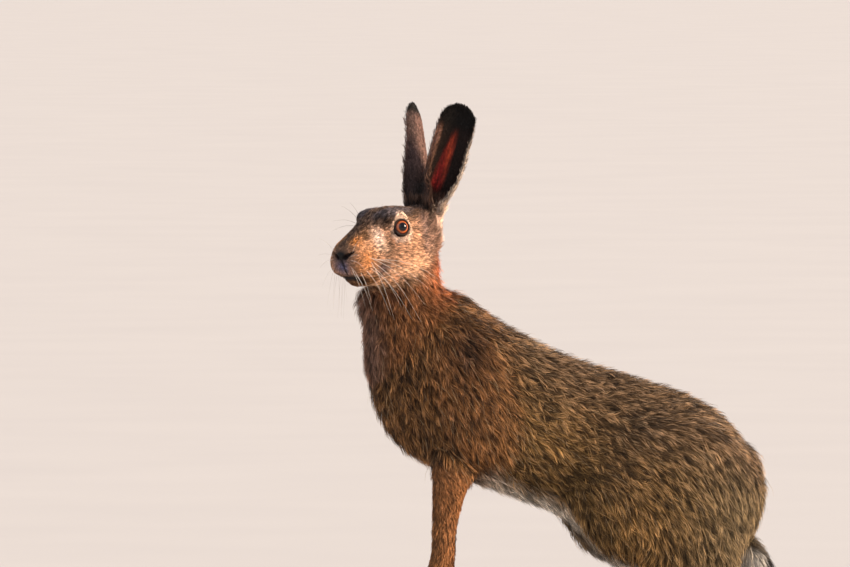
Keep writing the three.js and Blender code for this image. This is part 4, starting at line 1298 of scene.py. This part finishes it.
BROW_BRISTLES = (
    ((76, 14, 24), (86, 26, 40)),
    ((72, 14, 26), (76, 24, 42)),
    ((80, 14, 22), (96, 30, 26)),
    ((82, 14, 20), (98, 31, 16)),
)
WHISKER_RADIUS = 0.18
BROW_RADIUS = 0.13
BRISTLE_STEPS = 12
BRISTLE_SAG = 1.3

brow_finish, tree, shader = new_finish("brow_bristle")
brow_colour = between(tree, grained(tree, 150, 2)["Mask"], (40, 28, 22), (96, 72, 56))
feed(tree, shader, {"Base Color": brow_colour, "Roughness": 0.4})

bristle_finish, tree, shader = new_finish("bristle")
bristle_colour = between(tree, grained(tree, 60, 2)["Mask"], (214, 200, 186), (255, 250, 244))
feed(tree, shader, {"Base Color": bristle_colour, "Roughness": 0.35})


def bristle(form, side, bristle_root, bristle_tip, radius):
    """One tapered bristle from the skin to its tip."""
    start, end = (Vector(off_head((u, side * v, w))) for u, v, w in (bristle_root, bristle_tip))
    start = skin_tree.find_nearest(start)[0]
    ring = bmesh.ops.create_circle(form, segments=4, radius=radius * mm)["verts"]
    way_out = end - start
    turn = way_out.to_track_quat("Z", "Y").to_matrix().to_4x4()
    bmesh.ops.transform(form, verts=ring, matrix=Matrix.Translation(start - way_out * 0.02) @ turn)
    edges = list({e for v in ring for e in v.link_edges})
    for k in range(1, BRISTLE_STEPS + 1):
        t = k / BRISTLE_STEPS
        made = bmesh.ops.extrude_edge_only(form, edges=edges)["geom"]
        verts = [g for g in made if isinstance(g, bmesh.types.BMVert)]
        edges = [g for g in made if isinstance(g, bmesh.types.BMEdge)]
        middle = sum((v.co for v in verts), Vector()) / len(verts)
        bow = Vector((0, 0, BRISTLE_SAG * way_out.length / 12)) * math.sin(math.pi * t)
        shrink = (1 - 0.85 * t) / (1 - 0.85 * (t - 1 / BRISTLE_STEPS))
        for v in verts:
            v.co = start + way_out * t + bow + (v.co - middle) * shrink
    bmesh.ops.contextual_create(form, geom=edges)


for name, side in SIDES.items():
    for label, rows, radius, finish in (
        ("whiskers_", MUZZLE_BRISTLES, WHISKER_RADIUS, bristle_finish),
        ("brow_hairs_", BROW_BRISTLES, BROW_RADIUS, brow_finish),
    ):
        form = bmesh.new()
        for bristle_root, bristle_tip in rows:
            bristle(form, side, bristle_root, bristle_tip, radius)
        bmesh.ops.recalc_face_normals(form, faces=form.faces)
        bristle_piece = piece(label + name, mesh_of(label + name, form), finish)
        bristle_piece.data.shade_smooth()
        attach(bristle_piece, "root")

# The claws.
# Short dark horn, grown in fine layers along its length, set in the
# fur at the front of each toe. Their shapes are the solids' own.
horn_finish, tree, shader = new_finish("horn")
layers = grained(tree, 1, 4, depth=0.2, stretch=(120, 900, 500))
feed(tree, shader, {
    "Base Color": between(tree, layers["Mask"], (34, 27, 23), (112, 92, 74)),
    "Roughness": 0.4, "Normal": layers["Normal"],
})
for name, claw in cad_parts.items():
    if "claw" in name:
        claw.material_slots[0].material = horn_finish
